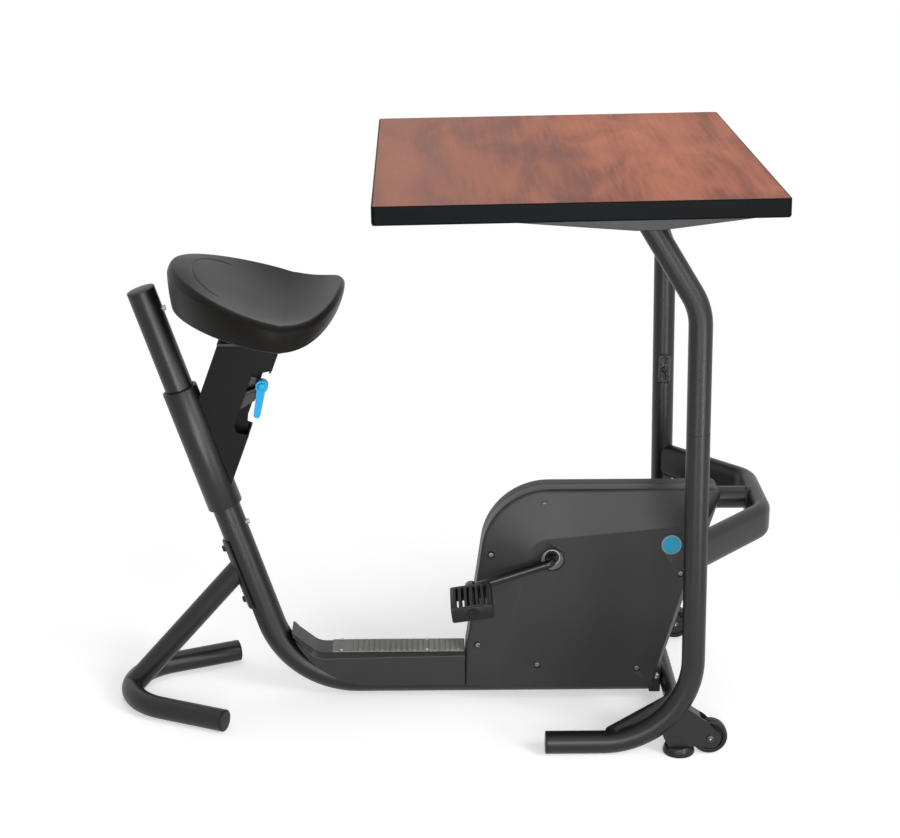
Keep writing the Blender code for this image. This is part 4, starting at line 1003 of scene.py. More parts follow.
@dataclass
class Spine:
    """The bent main tube with its plug and stop bolts, the strut and the V-shaped rear foot."""

    bench: Bench
    radius: float = 0.024
    lean: float = math.radians(18.5)
    corner: Vector = field(default_factory=lambda: Vector((-0.2553, 0.0, 0.030)))
    bend: float = 0.160
    length_up: float = 0.7434
    front_x: float = 0.3690
    stops: Pair = (0.3044, 0.7039)  # heights of the two bolts along the tube
    rear_radius: float = 0.01905
    rear_end: Point2 = (-0.3668, 0.1416)
    rear_angle: float = math.radians(24)
    rear_bend: float = 0.100
    strut_meet: float = 0.2377
    plate: Pair = (0.155, 0.285)  # where the strut's plate starts and ends along the tube

    @property
    def up(self) -> Vector:
        """The direction up the leaning part."""
        return Vector((-math.sin(self.lean), 0.0, math.cos(self.lean)))

    @property
    def front(self) -> Vector:
        """The direction square to the leaning part, to the rider's front."""
        return Vector((math.cos(self.lean), 0.0, math.sin(self.lean)))

    def on(self, up: float, out: float = 0.0) -> Vector:
        """A point along the leaning axis, and this far in front of it."""
        return self.corner + self.up * up + self.front * out

    def build(self) -> None:
        """Make the sub-assembly."""
        top, end = self.on(self.length_up), Vector((self.front_x, 0.0, self.corner.z))
        tube = Form().tube(self.radius, [top, self.corner, end], [self.bend], 64)
        self.bench.place(tube, "spine_tube", SATIN_BLACK, "main_frame_tube")
        r = self.radius
        cap = [(0.0, -0.001), (r, -0.001), (r, 0.0015), (r - 0.0007, 0.0026), (r - 0.002, 0.0033), (0.0, 0.0036)]
        plug = Form().lathe(cap, top, self.up, 64)
        self.bench.place(plug, "spine_plug", CAP_BLACK, "frame_top_cap")
        for word, up in zip(("lower", "upper"), self.stops):
            bolt = Fastener(0.0051, 0.0052, HeadStyle.HEX).form(self.on(up, r - 0.0006), self.front)
            stem = [(0.0, -0.006), (0.0035, -0.006), (0.0035, 0.004), (0.0, 0.004)]
            bolt.join(Form().lathe(stem, self.on(up, r), self.front, 20))
            self.bench.place(bolt, f"stop_bolt_{word}_head", ZINC, f"stop_bolt_{word}")
        self._rear()

    def _rear(self) -> None:
        """The foot, its plugs, the strut, its saddle plate and bolts."""
        (end_x, end_y), angle = self.rear_end, self.rear_angle
        corner = Vector((end_x - end_y / math.tan(angle), 0.0, self.rear_radius))
        near, far = (Vector((end_x, side.value * end_y, self.rear_radius)) for side in Side)
        foot = Form().tube(self.rear_radius, [near, corner, far], [self.rear_bend], 48)
        self.bench.place(foot, "rear_foot", SATIN_BLACK, "rear_foot_tube")
        for side, end in zip(Side, (near, far)):
            plug = tube_plug(end, (end - corner).normalized(), self.rear_radius)
            self.bench.place(plug, f"rear_plug_{side.word}", PLUG_BLACK, f"rear_foot_cap_{side.word}")
        reach = self.rear_bend * (1 / math.cos(math.pi / 2 - angle) - 1)
        apex = corner + FORWARD * reach
        meet = self.on(self.strut_meet)
        heading = (meet - apex).normalized()
        strut = Form().tube(self.rear_radius, [apex + heading * 0.004, meet - heading * 0.012], (), 48)
        self.bench.place(strut, "strut_tube", SATIN_BLACK, "rear_strut")
        self._plate()

    def _plate(self) -> None:
        """The curved plate on the spine's back, with its two bolts."""
        inner, outer = self.radius + 0.0002, self.radius + 0.0043
        low, high = self.plate
        steps, spread = 24, math.radians(107)
        angles = [math.pi - spread / 2 + spread * k / steps for k in range(steps + 1)]
        rim = [(outer * math.cos(a), outer * math.sin(a)) for a in angles]
        rim += [(inner * math.cos(a), inner * math.sin(a)) for a in reversed(angles)]
        form = Form()
        base = form.ring(Vector((x, y, 0.0)) for x, y in rim)
        form.close(base).thicken((0.0, 0.0, high - low)).soften(0.0008, 2, 50.0)
        at = self.on(low)
        turn = Matrix((self.front, ACROSS, self.up)).transposed().to_4x4()
        form.placed(Matrix.Translation(at) @ turn).outward()
        self.bench.place(form, "strut_plate", SATIN_BLACK, flat=True)
        places = [(self.on(up, -outer + 0.0002), -self.front) for up in (low + 0.015, high - 0.015)]
        heads = Fastener(0.0058, 0.0046, HeadStyle.HEX).forms(places)
        self.bench.place(heads, "strut_bolts", SATIN_BLACK)


def tube_plug(end: Vector, out: Vector, radius: float) -> Form:
    """A domed plug on a tube's end.

    Args:
        end: the middle of the tube's end.
        out: the direction out of the tube.
        radius: the tube's radius.

    Returns:
        The shape.
    """
    profile = [(0.0, -0.002), (radius - 0.0004, -0.002), (radius - 0.0004, 0.0003), (radius, 0.0005), (radius, 0.0018)]
    profile += [(radius - 0.0006, 0.0027), (radius - 0.002, 0.0032), (radius * 0.6, 0.0033), (0.0, 0.0033)]
    return Form().lathe(profile, end, out, 48)


@dataclass
class Saddle:
    """The sleeve on the spine, the notched post, the saddle, and the lever with its plunger."""

    bench: Bench
    spine: Spine
    start: float = 0.3448
    length: float = 0.2204
    radius: float = 0.030
    centre_x: float = -0.2999
    half_length: float = 0.1455
    half_width: float = 0.1872
    rim_z: float = 0.7001
    dish: float = 0.018
    under_z: float = 0.65765
    power: float = 2.05
    flare: float = 0.177
    rear_rise: Pair = (0.0837, 1.103)  # height and power
    nose_rise: Triple = (0.0552, 2.2, 0.34)  # height, power along and power across
    dish_change: Pair = (0.020, 0.0427)  # slope and curve of the dish along the saddle
    dish_power: float = 2.4
    crown_power: float = 1.4
    lip: float = 0.012
    lip_from: float = 0.94
    wall: Pair = (0.0370, 0.0350)  # height at the nose, and what the rear adds
    wall_draw: float = 0.034
    levels: Pair = (0.5, 0.62)  # where down the skin the wall and its turn end
    foot_share: float = 0.934
    foot_turn: Pair = (0.032, 0.005)  # how far the turn goes in and down
    base_blend: Pair = (0.72, 0.32)  # where the base starts to level, and over how much
    channel: Triple = (-0.345, 0.059, 0.110)  # middle X, depth along and width across
    channel_depth: float = 0.0019
    channel_half: float = 0.0012

    def build(self) -> None:
        """Make the sub-assembly."""
        r, length = self.radius, self.length
        inner = r - 0.0027
        profile = [(r, 0.0012), (r, length - 0.0012), (r - 0.0004, length - 0.0004), (r - 0.0012, length)]
        profile += [(inner, length), (inner, 0.0), (r - 0.0012, 0.0), (r - 0.0004, 0.0004)]
        sleeve = Form().lathe(profile, self.spine.on(self.start), self.spine.up, 72)
        self.bench.place(sleeve, "sleeve_tube", SATIN_BLACK, "seat_sleeve", body=Body.CARRIAGE)
        self.bench.redress(PLUG_BLACK, "sleeve_bushing_lower", "sleeve_bushing_upper")
        self.bench.refine(POST_BLACK, 0.0009, "seat_post", body=Body.CARRIAGE)
        self.bench.refine(SATIN_BLACK, 0.0008, "seat_plate", body=Body.CARRIAGE)
        self.bench.refine(SATIN_BLACK, 0.0004, "lever_bracket", body=Body.CARRIAGE)
        self.bench.redress(DARK_STEEL, "lock_plunger")
        self.bench.redress(BLACK_STEEL, "lever_pin")
        self._lever()
        self._cushion()

    def _lever(self) -> None:
        """The blue lever: a round head and a flared tail, with soft edges."""
        form = Form.of_node("release_lever").soften(0.0009, 3, 40.0)
        self.bench.place(form, "lever_blade", LEVER_BLUE, "release_lever", body=Body.LEVER, crease=45.0, flat=True)
        low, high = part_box("lever_pin")
        at, r = Vector(((low.x + high.x) / 2, low.y + 0.0002, (low.z + high.z) / 2)), (high.x - low.x) / 2 + 0.0014
        cap = [(0.0, 0.0), (r, 0.0), (r, 0.0005), (r - 0.0006, 0.0011), (r * 0.5, 0.0014), (0.0, 0.0015)]
        self.bench.place(Form().lathe(cap, at, -ACROSS, 32), "lever_cap", LEVER_BLUE, body=Body.LEVER)

    def _outline(self, angle: float) -> Point2:
        """A point of the saddle's plan outline.

        Args:
            angle: the angle round the plan, from the nose.

        Returns:
            Its places along and across, as shares of the half length and half width.
        """
        power = 2 / self.power
        along = math.copysign(abs(math.cos(angle)) ** power, math.cos(angle))
        across = math.copysign(abs(math.sin(angle)) ** power, math.sin(angle)) * (1 + self.flare * along)
        return along, across

    def _rim(self, along: float, across: float) -> float:
        """The rim's height at a point of the outline: high behind, low at the thighs, up again at the nose.

        Args:
            along: the outline's place along the saddle.
            across: its place across.

        Returns:
            The height.
        """
        rear, power = self.rear_rise
        nose, long, wide = self.nose_rise
        behind = rear * ((1 - along) / 2) ** power
        return self.rim_z + behind + nose * max(0.0, along) ** long * max(0.0, 1 - across**2) ** wide

    def _top(self, along: float, across: float) -> float:
        """The top's height: level with the rim at both sides, and dished along the middle.

        Args:
            along: the place along the saddle.
            across: the place across.

        Returns:
            The height.
        """
        edge = max(TINY, 1 - abs(along) ** self.power) ** (1 / self.power) * (1 + self.flare * along)
        slope, curve = self.dish_change
        dish = (1 - along**2) * (self.dish + slope * along - curve * along**2)
        return self._rim(along, edge) - dish * (1 - min(1.0, abs(across) / edge) ** self.dish_power)

    def _skin(self, point: Vector) -> Vector:
        """A point of the unit ball as a point of the saddle.

        Args:
            point: the point of the ball. Its upper half becomes the top, and its lower half the sides and base.

        Returns:
            The place.
        """
        along, across = self._outline(math.atan2(point.y, point.x))
        level = math.asin(max(-1.0, min(1.0, point.z))) / (math.pi / 2)
        if level >= 0:
            share, z = self._crown(along, across, 1 - level**self.crown_power)
        else:
            share, z = self._flank(along, across, -level)
        return Vector((self.centre_x + along * share * self.half_length, across * share * self.half_width, z))

    def _crown(self, along: float, across: float, share: float) -> Point2:
        """The share and height of a point of the top, rolled down over its last few millimetres."""
        lip = max(0.0, (share - self.lip_from) / (1 - self.lip_from))
        return share, self._top(along * share, across * share) - self.lip * lip**2

    def _flank(self, along: float, across: float, drop: float) -> Point2:
        """The side wall, the tight turn at its foot and the base drawn in to the plate.

        Args:
            along: the outline's place along the saddle.
            across: its place across.
            drop: how far down the skin, from 0 at the rim to 1 under the middle.

        Returns:
            The share of the outline and the height.
        """
        rim = self._rim(along, across)
        foot, (front, extra) = self.foot_share, self.wall
        tall = front + extra * (1 - along) / 2
        (wall_end, turn_end), (turn_in, turn_up) = self.levels, self.foot_turn
        if drop < wall_end:
            share = drop / wall_end
            return 1 - self.wall_draw * share**2, rim - self.lip - (tall - (self.lip + turn_up)) * share
        if drop < turn_end:
            turn = math.radians(90 * (drop - wall_end) / (turn_end - wall_end))
            return foot + turn_in * math.cos(turn), rim - tall + turn_up - turn_up * math.sin(turn)
        share = foot * (1 - (drop - turn_end) / (1 - turn_end))
        blend_from, blend_over = self.base_blend
        blend = max(0.0, min(1.0, (blend_from - share) / blend_over))
        return share, rim - tall + (self.under_z - rim + tall) * blend**2 * (3 - 2 * blend)

    def _groove(self, point: Vector) -> Vector:
        """Press the channel behind the sitting area into the top.

        Args:
            point: a point of the saddle.

        Returns:
            The point, lower where the channel is.
        """
        middle, deep, wide = self.channel
        x, y = point.x - middle, point.y
        off = math.hypot(x / deep, y / wide)
        if off < 0.5 or point.z < self._top((point.x - self.centre_x) / self.half_length, y / self.half_width) - 0.004:
            return point
        away = math.hypot(x, y) * (1 - 1 / off)
        fade = max(0.0, min(1.0, (-0.002 - x) / 0.012))
        return point - UP * self.channel_depth * fade * math.exp(-((away / self.channel_half) ** 2))

    def _cushion(self) -> None:
        """The saddle, a dished foam pad on the plate."""
        form = Form()
        bmesh.ops.create_uvsphere(form.mesh, u_segments=240, v_segments=220, radius=1.0)
        form.moved(self._skin).moved(self._groove).outward()
        piece = self.bench.place(form, "saddle_pad", SADDLE_SKIN, "seat_cushion", body=Body.CARRIAGE, crease=180.0)


@dataclass
class Footrest:
    """The cover over the spine's level run, its ribbed tread and four screws."""

    bench: Bench
    spine: Spine
    half_width: float = 0.0345
    top: float = 0.0905
    front: float = 0.0457
    rear: float = -0.209
    tip: Point2 = (-0.2555, 0.1275)
    arc: Pair = (-0.1141, 0.149)  # centre X and radius
    knee_radius: float = 0.0345
    tread: Pair = (-0.186, 0.0445)  # rear and front end
    tread_half: float = 0.026
    pitch: float = 0.0095
    margin: float = 0.036

    def _chamfer(self, x: float) -> float:
        """How wide the slope along the cover's upper edges is."""
        return 0.0085 - 0.0040 * max(0.0, min(1.0, (x + 0.20) / 0.24))

    def _side(self, lowered: bool) -> list[Point2]:
        """The cover's side outline.

        Args:
            lowered: whether its upper edge is drawn down by the chamfer.

        Returns:
            The outline.
        """
        floor, (arc_x, arc_r) = self.spine.corner.z, self.arc
        end = math.acos((self.tip[0] + 0.0035 - arc_x) / arc_r)
        angles = [-math.pi / 2 - (end - math.pi / 2) * k / 20 for k in range(21)]
        back = [(arc_x + arc_r * math.cos(a), floor + arc_r + arc_r * math.sin(a)) for a in angles]
        fillet = [math.radians(231.6 + 38.4 * k / 10) for k in range(11)]
        down = self._chamfer if lowered else lambda x: 0.0
        r = self.knee_radius
        knee = (self.rear + 0.012, self.top + r)
        slope = []
        for angle in fillet:
            x = knee[0] + r * math.cos(angle)
            slope.append((x + down(x) * math.cos(angle), knee[1] + r * math.sin(angle) + down(x) * math.sin(angle)))
        tip = (self.tip[0] + 0.3 * down(self.tip[0]), self.tip[1] - 0.8 * down(self.tip[0]))
        return [(self.front, self.top - down(self.front)), (self.front, floor), *back, tip, *slope]

    def build(self) -> None:
        """Make the sub-assembly."""
        form = Form()
        full, low = self._side(False), self._side(True)
        loops = []
        for sign, outline, inward in ((-1, low, False), (-1, full, True), (1, full, True), (1, low, False)):
            widths = [
                self.half_width - (self._chamfer(x) if inward and self._upper(k) else 0.0)
                for k, (x, _) in enumerate(full)
            ]
            loops.append(form.ring(Vector((x, sign * width, z)) for (x, z), width in zip(outline, widths)))
        form.bridge(*loops).close(loops[0], loops[-1]).outward()
        form.soften(0.0012, 2, 30.0, 80.0)
        self.bench.place(form, "cover_shell", COVER_BLACK, "footrest_cover", flat=True)
        self._tread()
        places = [(Vector((x, y, self.top + 0.0030)), UP) for x in (-0.170, -0.0205) for y in (-0.0225, 0.0225)]
        self.bench.place(Fastener(0.0027, 0.0013).forms(places), "tread_screws", ZINC)

    @staticmethod
    def _upper(k: int) -> bool:
        """Whether a point of the side outline, by its number, is on the upper edge."""
        return k == 0 or k > 22

    def _tread(self) -> None:
        """A mat with ribs across it and a plain edge all round."""
        start, end = self.tread
        low = self.top + 0.0002
        mat = [(start, low), (end, low), (end, low + 0.0016), (start, low + 0.0016)]
        form = Form().slab(mat, -self.tread_half, self.tread_half).soften(0.0006, 2, 40.0)
        for k in range(int((end - start - self.margin) / self.pitch)):
            x = start + self.margin + k * self.pitch
            rib = [(x, low + 0.001), (x + 0.0068, low + 0.001), (x + 0.0062, low + 0.0031), (x + 0.0006, low + 0.0031)]
            form.join(Form().slab(rib, -self.tread_half + 0.003, self.tread_half - 0.003).soften(0.0004, 2, 40.0))
        self.bench.place(form, "tread_mat", TREAD, "footrest_tread", flat=True)


@dataclass
class Housing:
    """The two shells round the drive, with screws, hub bezels and a plain badge."""

    bench: Bench
    rear: float = 0.046
    wall: float = 0.0025
    rim_half: float = 0.028
    sill_half: float = 0.0345
    side_half: float = 0.046
    hub: Point2 = (0.194, 0.270)
    hub_radius: float = 0.0205
    badge: Point2 = (0.397, 0.296)
    badge_radius: float = 0.0175
    screws: tuple[Point3, ...] = (
        (0.1805, 0.365, 0.0319),
        (0.0895, 0.2745, 0.0343),
        (0.0675, 0.1055, 0.0330),
        (0.1705, 0.0725, 0.0460),
        (0.3445, 0.0650, 0.0460),
        (0.4145, 0.2420, 0.0460),
    )

    def _rim(self) -> list[Point2]:
        """The outline of the shells' edge band.

        Returns:
            The outline's points.
        """
        r = self.rear
        corners = [(r, 0.030), (r + 0.0015, 0.095), (r + 0.0025, 0.103)]
        corners += [(r + 0.042, 0.3905), (0.484, 0.3905), (0.3765, 0.030)]
        return rounded(corners, [0, 0, 0, 0.117, 0.012, 0], 18)

    def _flat(self) -> list[Point2]:
        """The outline of the flat side.

        Returns:
            The outline's points.
        """
        r = self.rear
        corners = [(r + 0.066, 0.030), (r + 0.0665, 0.095), (r + 0.0682, 0.1015)]
        corners += [(r + 0.1136, 0.3045), (0.4530, 0.3335), (0.3684, 0.030)]
        return rounded(corners, [0, 0, 0, 0.030, 0.010, 0], 18)

    def _loops(self, side: Side) -> list[list[Vector]]:
        """The loops of points from the split between the shells out to the flat side.

        Args:
            side: which shell.

        Returns:
            The loops, all with the same number of points.
        """
        rim, flat = self._rim(), self._flat()
        count = len(rim)
        middle = Vector((sum(x for x, _ in flat) / count, 0.0, sum(z for _, z in flat) / count))
        edge = [self.sill_half if k < 2 else self.rim_half for k in range(count)]

        def facet(k: int, share: float) -> Vector:
            """A point on the straight line from the rim out to the flat side.

            Args:
                k: the point's number round the outline.
                share: how far out it is, from 0 to 1.

            Returns:
                The point.
            """
            start = Vector((rim[k][0], edge[k], rim[k][1]))
            end = Vector((flat[k][0], self.side_half, flat[k][1]))
            return start.lerp(end, share)

        def band(k: int, depth: float) -> Vector:
            """A point on the edge band, this far in from its edge."""
            return Vector((rim[k][0], depth, rim[k][1]))

        def inner(k: int, inset: float) -> Vector:
            """A point on the flat side, drawn in from its outline.

            Args:
                k: the point's number round the outline.
                inset: how far in it is.

            Returns:
                The point.
            """
            at = facet(k, 1.0)
            toward = (middle - at) * Vector((1.0, 0.0, 1.0))
            return at + toward.normalized() * inset

        loops = [[band(k, 0.00015) for k in range(count)]]
        for bend in range(5):
            t = bend / 4
            loops.append([
                band(k, edge[k] - 0.0030).lerp(band(k, edge[k]), t).lerp(band(k, edge[k]).lerp(facet(k, 0.09), t), t)
                for k in range(count)
            ])
        for bend in range(4):
            t = bend / 3
            loops.append([
                facet(k, 0.94).lerp(facet(k, 1.0), t).lerp(facet(k, 1.0).lerp(inner(k, 0.003), t), t)
                for k in range(count)
            ])
        sign = side.value
        return [[Vector((point.x, sign * point.y, point.z)) for point in loop] for loop in loops]

    def _shell(self, side: Side) -> Form:
        """One shell's surface with its holes, before it gets its thickness.

        Args:
            side: which shell.

        Returns:
            The surface.
        """
        form = Form()
        rings = [form.ring(loop) for loop in self._loops(side)]
        form.bridge(*rings)
        y = side.value * self.side_half
        holes = [circle(self.hub, self.hub_radius, 64)]
        holes += [circle((x, z), 0.0058, 24) for x, z, out in self.screws if out > 0.045]
        if side is Side.NEAR:
            holes.append(circle(self.badge, self.badge_radius + 0.0004, 64))
        edges = list(rings[-1])
        for hole in holes:
            edges += form.ring(Vector((x, y, z)) for x, z in hole)
        form.fill(edges)
        return form.outward()

    def build(self) -> None:
        """Make the sub-assembly."""
        for side in Side:
            name, stood_for = f"shell_{side.word}", f"housing_{side.word}"
            piece = self.bench.place(self._shell(side), name, HOUSING_BLACK, stood_for, crease=30.0)
            thick = piece.modifiers.new("wall", "SOLIDIFY")
            thick.thickness = self.wall
            thick.offset = -1.0 if self._points_out(piece, side) else 1.0
            thick.use_even_offset = False
            weighted = piece.modifiers.new("flat faces", "WEIGHTED_NORMAL")
            weighted.keep_sharp = True
            self._fasten(side)
        self._badge()

    def _points_out(self, piece: Object, side: Side) -> bool:
        """Whether the open shell's faces point away from the middle plane."""
        turned = sum(face.normal.y * face.area for face in piece.data.polygons)
        return turned * side.value > 0

    def _fasten(self, side: Side) -> None:
        """The screws in their recesses, and the bezel round the crank.

        Args:
            side: which shell.
        """
        out = ACROSS * side.value
        heads, cups = Form(), Form()
        for x, z, y in self.screws:
            at = Vector((x, side.value * y, z))
            sunk = 0.0022 if y > 0.045 else 0.0004
            heads.join(Fastener(0.0045, 0.0016).form(at - out * sunk, out))
            lip = 0.0001 if y > 0.045 else 0.0012
            cup = [(0.0062, lip - 0.0006), (0.0059, lip), (0.0053, lip), (0.0050, -0.0028), (0.0062, -0.0028)]
            cups.join(Form().lathe(cup, at, out, 24))
        self.bench.place(heads, f"shell_screws_{side.word}", SCREW_GREY)
        self.bench.place(cups, f"screw_cups_{side.word}", PLUG_BLACK)
        centre = Vector((self.hub[0], side.value * self.side_half, self.hub[1]))
        r = self.hub_radius
        ring = [(r + 0.0012, 0.0004), (r + 0.0008, 0.0010), (r - 0.0004, 0.0010), (r - 0.0016, 0.0002)]
        ring += [(r - 0.0016, -0.0010), (r - 0.0002, -0.0010), (r - 0.0002, 0.0004)]
        self.bench.place(Form().lathe(ring, centre, out, 72), f"hub_ring_{side.word}", PLUG_BLACK)
        dish = [(r - 0.0017, -0.0008), (0.0150, -0.0085), (0.0136, -0.0100), (0.0125, -0.0100), (0.0125, -0.0115)]
        dish += [(r - 0.0002, -0.0100), (r - 0.0002, -0.0012), (r - 0.0017, -0.0012)]
        self.bench.place(Form().lathe(dish, centre, out, 72), f"hub_bezel_{side.word}", DISH_STEEL)
        collar = [(0.0128, -0.0108), (0.0128, -0.0090), (0.0120, -0.0084), (0.0083, -0.0084), (0.0083, -0.0108)]
        self.bench.place(Form().lathe(collar, centre, out, 48), f"hub_collar_{side.word}", PLUG_BLACK)

    def _badge(self) -> None:
        """A plain round badge with a pale rim."""
        at = Vector((self.badge[0], -self.side_half + 0.0009, self.badge[1]))
        r = self.badge_radius
        disc = [(0.0, 0.0022), (r * 0.6, 0.0021), (r - 0.0022, 0.0018), (r - 0.0022, 0.0), (0.0, 0.0)]
        self.bench.place(Form().lathe(disc, at, -ACROSS, 64), "badge_face", TEAL, "badge_disc")
        rim = [(r - 0.0023, 0.0), (r - 0.0023, 0.0020), (r - 0.0016, 0.0025)]
        rim += [(r - 0.0006, 0.0023), (r, 0.0016), (r, 0.0)]
        self.bench.place(Form().lathe(rim, at, -ACROSS, 64), "badge_rim", PALE_RIM)


@dataclass
class Drive:
    """The crank with its pedals, and the parts inside the housing."""

    bench: Bench
    centre: Vector = field(default_factory=lambda: Vector((0.194, 0.0, 0.270)))
    angle: float = math.radians(195.2)
    length: float = 0.145
    radius: float = 0.0075
    arm_y: float = 0.079
    axle_y: float = 0.060
    arm_bend: float = 0.016
    pedal: Triple = (0.070, 0.0946, 0.025)  # length, width and thickness
    tilt: float = math.radians(-8)

    def _eye(self, side: Side) -> Vector:
        """Where a pedal's spindle meets its arm."""
        direction = Vector((math.cos(self.angle), 0.0, math.sin(self.angle)))
        return self.centre - direction * self.length * side.value + ACROSS * side.value * self.arm_y

    def build(self) -> None:
        """Make the sub-assembly."""
        near, far = (self._eye(side) for side in Side)
        bend = ACROSS * self.axle_y
        path = [near, self.centre - bend, self.centre + bend, far]
        crank = Form().tube(self.radius, path, [self.arm_bend] * 2, 32)
        for eye in (near, far):
            profile = [(0.0, -0.009), (0.0098, -0.009), (0.0108, -0.0085), (0.011, -0.0075), (0.011, 0.0075)]
            profile += [(0.0108, 0.0085), (0.0098, 0.009), (0.0, 0.009)]
            crank.join(Form().lathe(profile, eye, ACROSS, 40))
        self.bench.place(crank, "crank_bar", GLOSS_BLACK, "crank", body=Body.CRANK)
        self.bench.redress(PLUG_BLACK, "drive_pulley")
        self.bench.redress(BLACK_RUBBER, "drive_belt")
        self.bench.redress(IRON, "flywheel")
        self.bench.redress(SATIN_BLACK, "drive_frame")
        bearings = [f"{part}_bearing_{side.word}" for part in ("crank", "flywheel") for side in Side]
        self.bench.redress(BRIGHT_STEEL, *bearings)
        self.bench.redress(BLACK_STEEL, "pedal_spindle_near", "pedal_spindle_far")
        self._pedal(Side.NEAR, near, Body.PEDAL_NEAR)
        self._pedal(Side.FAR, far, Body.PEDAL_FAR)

    def _pedal(self, side: Side, eye: Vector, body: Body) -> None:
        """One pedal: two end plates joined by slats, with a ribbed tread.

        Args:
            side: which pedal.
            eye: where its spindle meets the arm.
            body: what it rides on.
        """
        length, width, thick = self.pedal
        inner = 0.009 + 0.0003 + 0.003 + 0.0003
        low, high = sorted((side.value * inner, side.value * (inner + width)))
        form = Form()
        plan = oblong(length / 2, thick / 2, 0.004, 4)
        for start, end in ((low, low + 0.0072), (high - 0.0072, high)):
            form.join(Form().slab(plan, start, end).soften(0.0010, 2, 60.0))

        def bar(x: float, half: float, edge: float) -> Form:
            """A bar from one end plate to the other."""
            shape = Form().box((x - half, low + 0.006, -thick / 2), (x + half, high - 0.006, thick / 2))
            return shape.soften(edge, 2, 40.0)

        form.join(bar(-0.0325, 0.0025, 0.0010), bar(0.0325, 0.0025, 0.0010))
        for k in range(7):
            x = (k - 3) * 0.0095
            form.join(bar(x, 0.0024, 0.0007))
            for j in range(9):
                y = low + 0.0125 + j * (width - 0.025) / 8
                for level in (-1, 1):
                    root = (x - 0.0017, y - 0.0016, level * (thick / 2 - 0.001))
                    form.join(Form().box(root, (x + 0.0017, y + 0.0016, level * (thick / 2 + 0.0006))))
        start, end = low + 0.001, high - 0.001
        sleeve = [(0.0058, start), (0.0088, start), (0.0088, end), (0.0058, end)]
        form.join(Form().lathe(sleeve, Vector(), ACROSS, 32))
        form.placed(Matrix.Translation(eye) @ Matrix.Rotation(self.tilt, 4, "Y"))
        self.bench.place(form, f"pedal_{side.word}_body", PEDAL_BLACK, f"pedal_{side.word}", body=body, crease=40.0)


@dataclass
class Posts:
    """The two bent posts with their feet, plugs, joint plates and bolts."""

    bench: Bench
    radius: float = 0.01905
    offset: float = 0.231
    foot_end: float = 0.177
    floor_x: float = 0.4172
    bend: float = 0.146
    lean: float = 0.0176
    joint_z: float = 0.559
    knee_z: float = 0.761
    knee_bend: float = 0.100
    knee_angle: float = math.radians(31.7)
    top_z: float = 0.9173
    plate_z: float = 0.5318
    plate_half: Pair = (0.011, 0.026)  # half of the joint plate's width and height
    plate_thick: float = 0.005

    def x_at(self, z: float) -> float:
        """X of a post's axis at a height, below its knee."""
        return self.floor_x - (z - self.radius) * self.lean

    def build(self) -> None:
        """Make the sub-assembly."""
        for side in Side:
            y = side.value * self.offset
            seam = Vector((self.x_at(self.joint_z), y, self.joint_z))
            foot = Vector((self.foot_end, y, self.radius))
            corner = Vector((self.x_at(self.radius), y, self.radius))
            lower = Form().tube(self.radius, [foot, corner, seam], [self.bend], 48).join(self._plate(side))
            self.bench.place(lower, f"post_lower_{side.word}", SATIN_BLACK, f"leg_lower_{side.word}")
            knee = Vector((self.x_at(self.knee_z), y, self.knee_z))
            top = Vector((knee.x - (self.top_z - self.knee_z) * math.tan(self.knee_angle), y, self.top_z))
            start = Vector((self.x_at(self.joint_z + 0.0005), y, self.joint_z + 0.0005))
            upper = Form().tube(self.radius, [start, knee, top], [self.knee_bend], 48)
            self.bench.place(upper, f"post_upper_{side.word}", SATIN_BLACK, f"leg_upper_{side.word}")
            plug = tube_plug(foot, -FORWARD, self.radius)
            self.bench.place(plug, f"post_plug_{side.word}", PLUG_BLACK, f"leg_foot_cap_{side.word}")
            self.bench.redress(ZINC, f"leg_coupler_{side.word}")
            hub = self._hub(side)
            bolt = Fastener(0.0062, 0.0032, HeadStyle.DOME).form(hub, -ACROSS * side.value)
            self.bench.place(bolt, f"joint_bolt_{side.word}", SATIN_BLACK)

    def _hub(self, side: Side) -> Vector:
        """The middle of a joint plate's outer face."""
        y = side.value * (self.offset - self.radius - 0.0029)
        return Vector((self.x_at(self.plate_z), y, self.plate_z))

    def _plate(self, side: Side) -> Form:
        """The welded joint plate with its two slots.

        Args:
            side: which post it is welded to.

        Returns:
            The shape.
        """
        hub = self._hub(side)
        half, tall = self.plate_half
        slot = oblong(0.0027, 0.0062, 0.0024, 4)
        holes = [[(x, z + level * tall * 0.62) for x, z in slot] for level in (-1, 1)]
        form = Form().slab(oblong(half, tall, 0.005, 5), 0.0, self.plate_thick, holes).soften(0.0006, 2, 60.0)
        sunk = self.plate_thick if side is Side.NEAR else 0.0
        return form.placed(Matrix.Translation(hub - ACROSS * sunk))


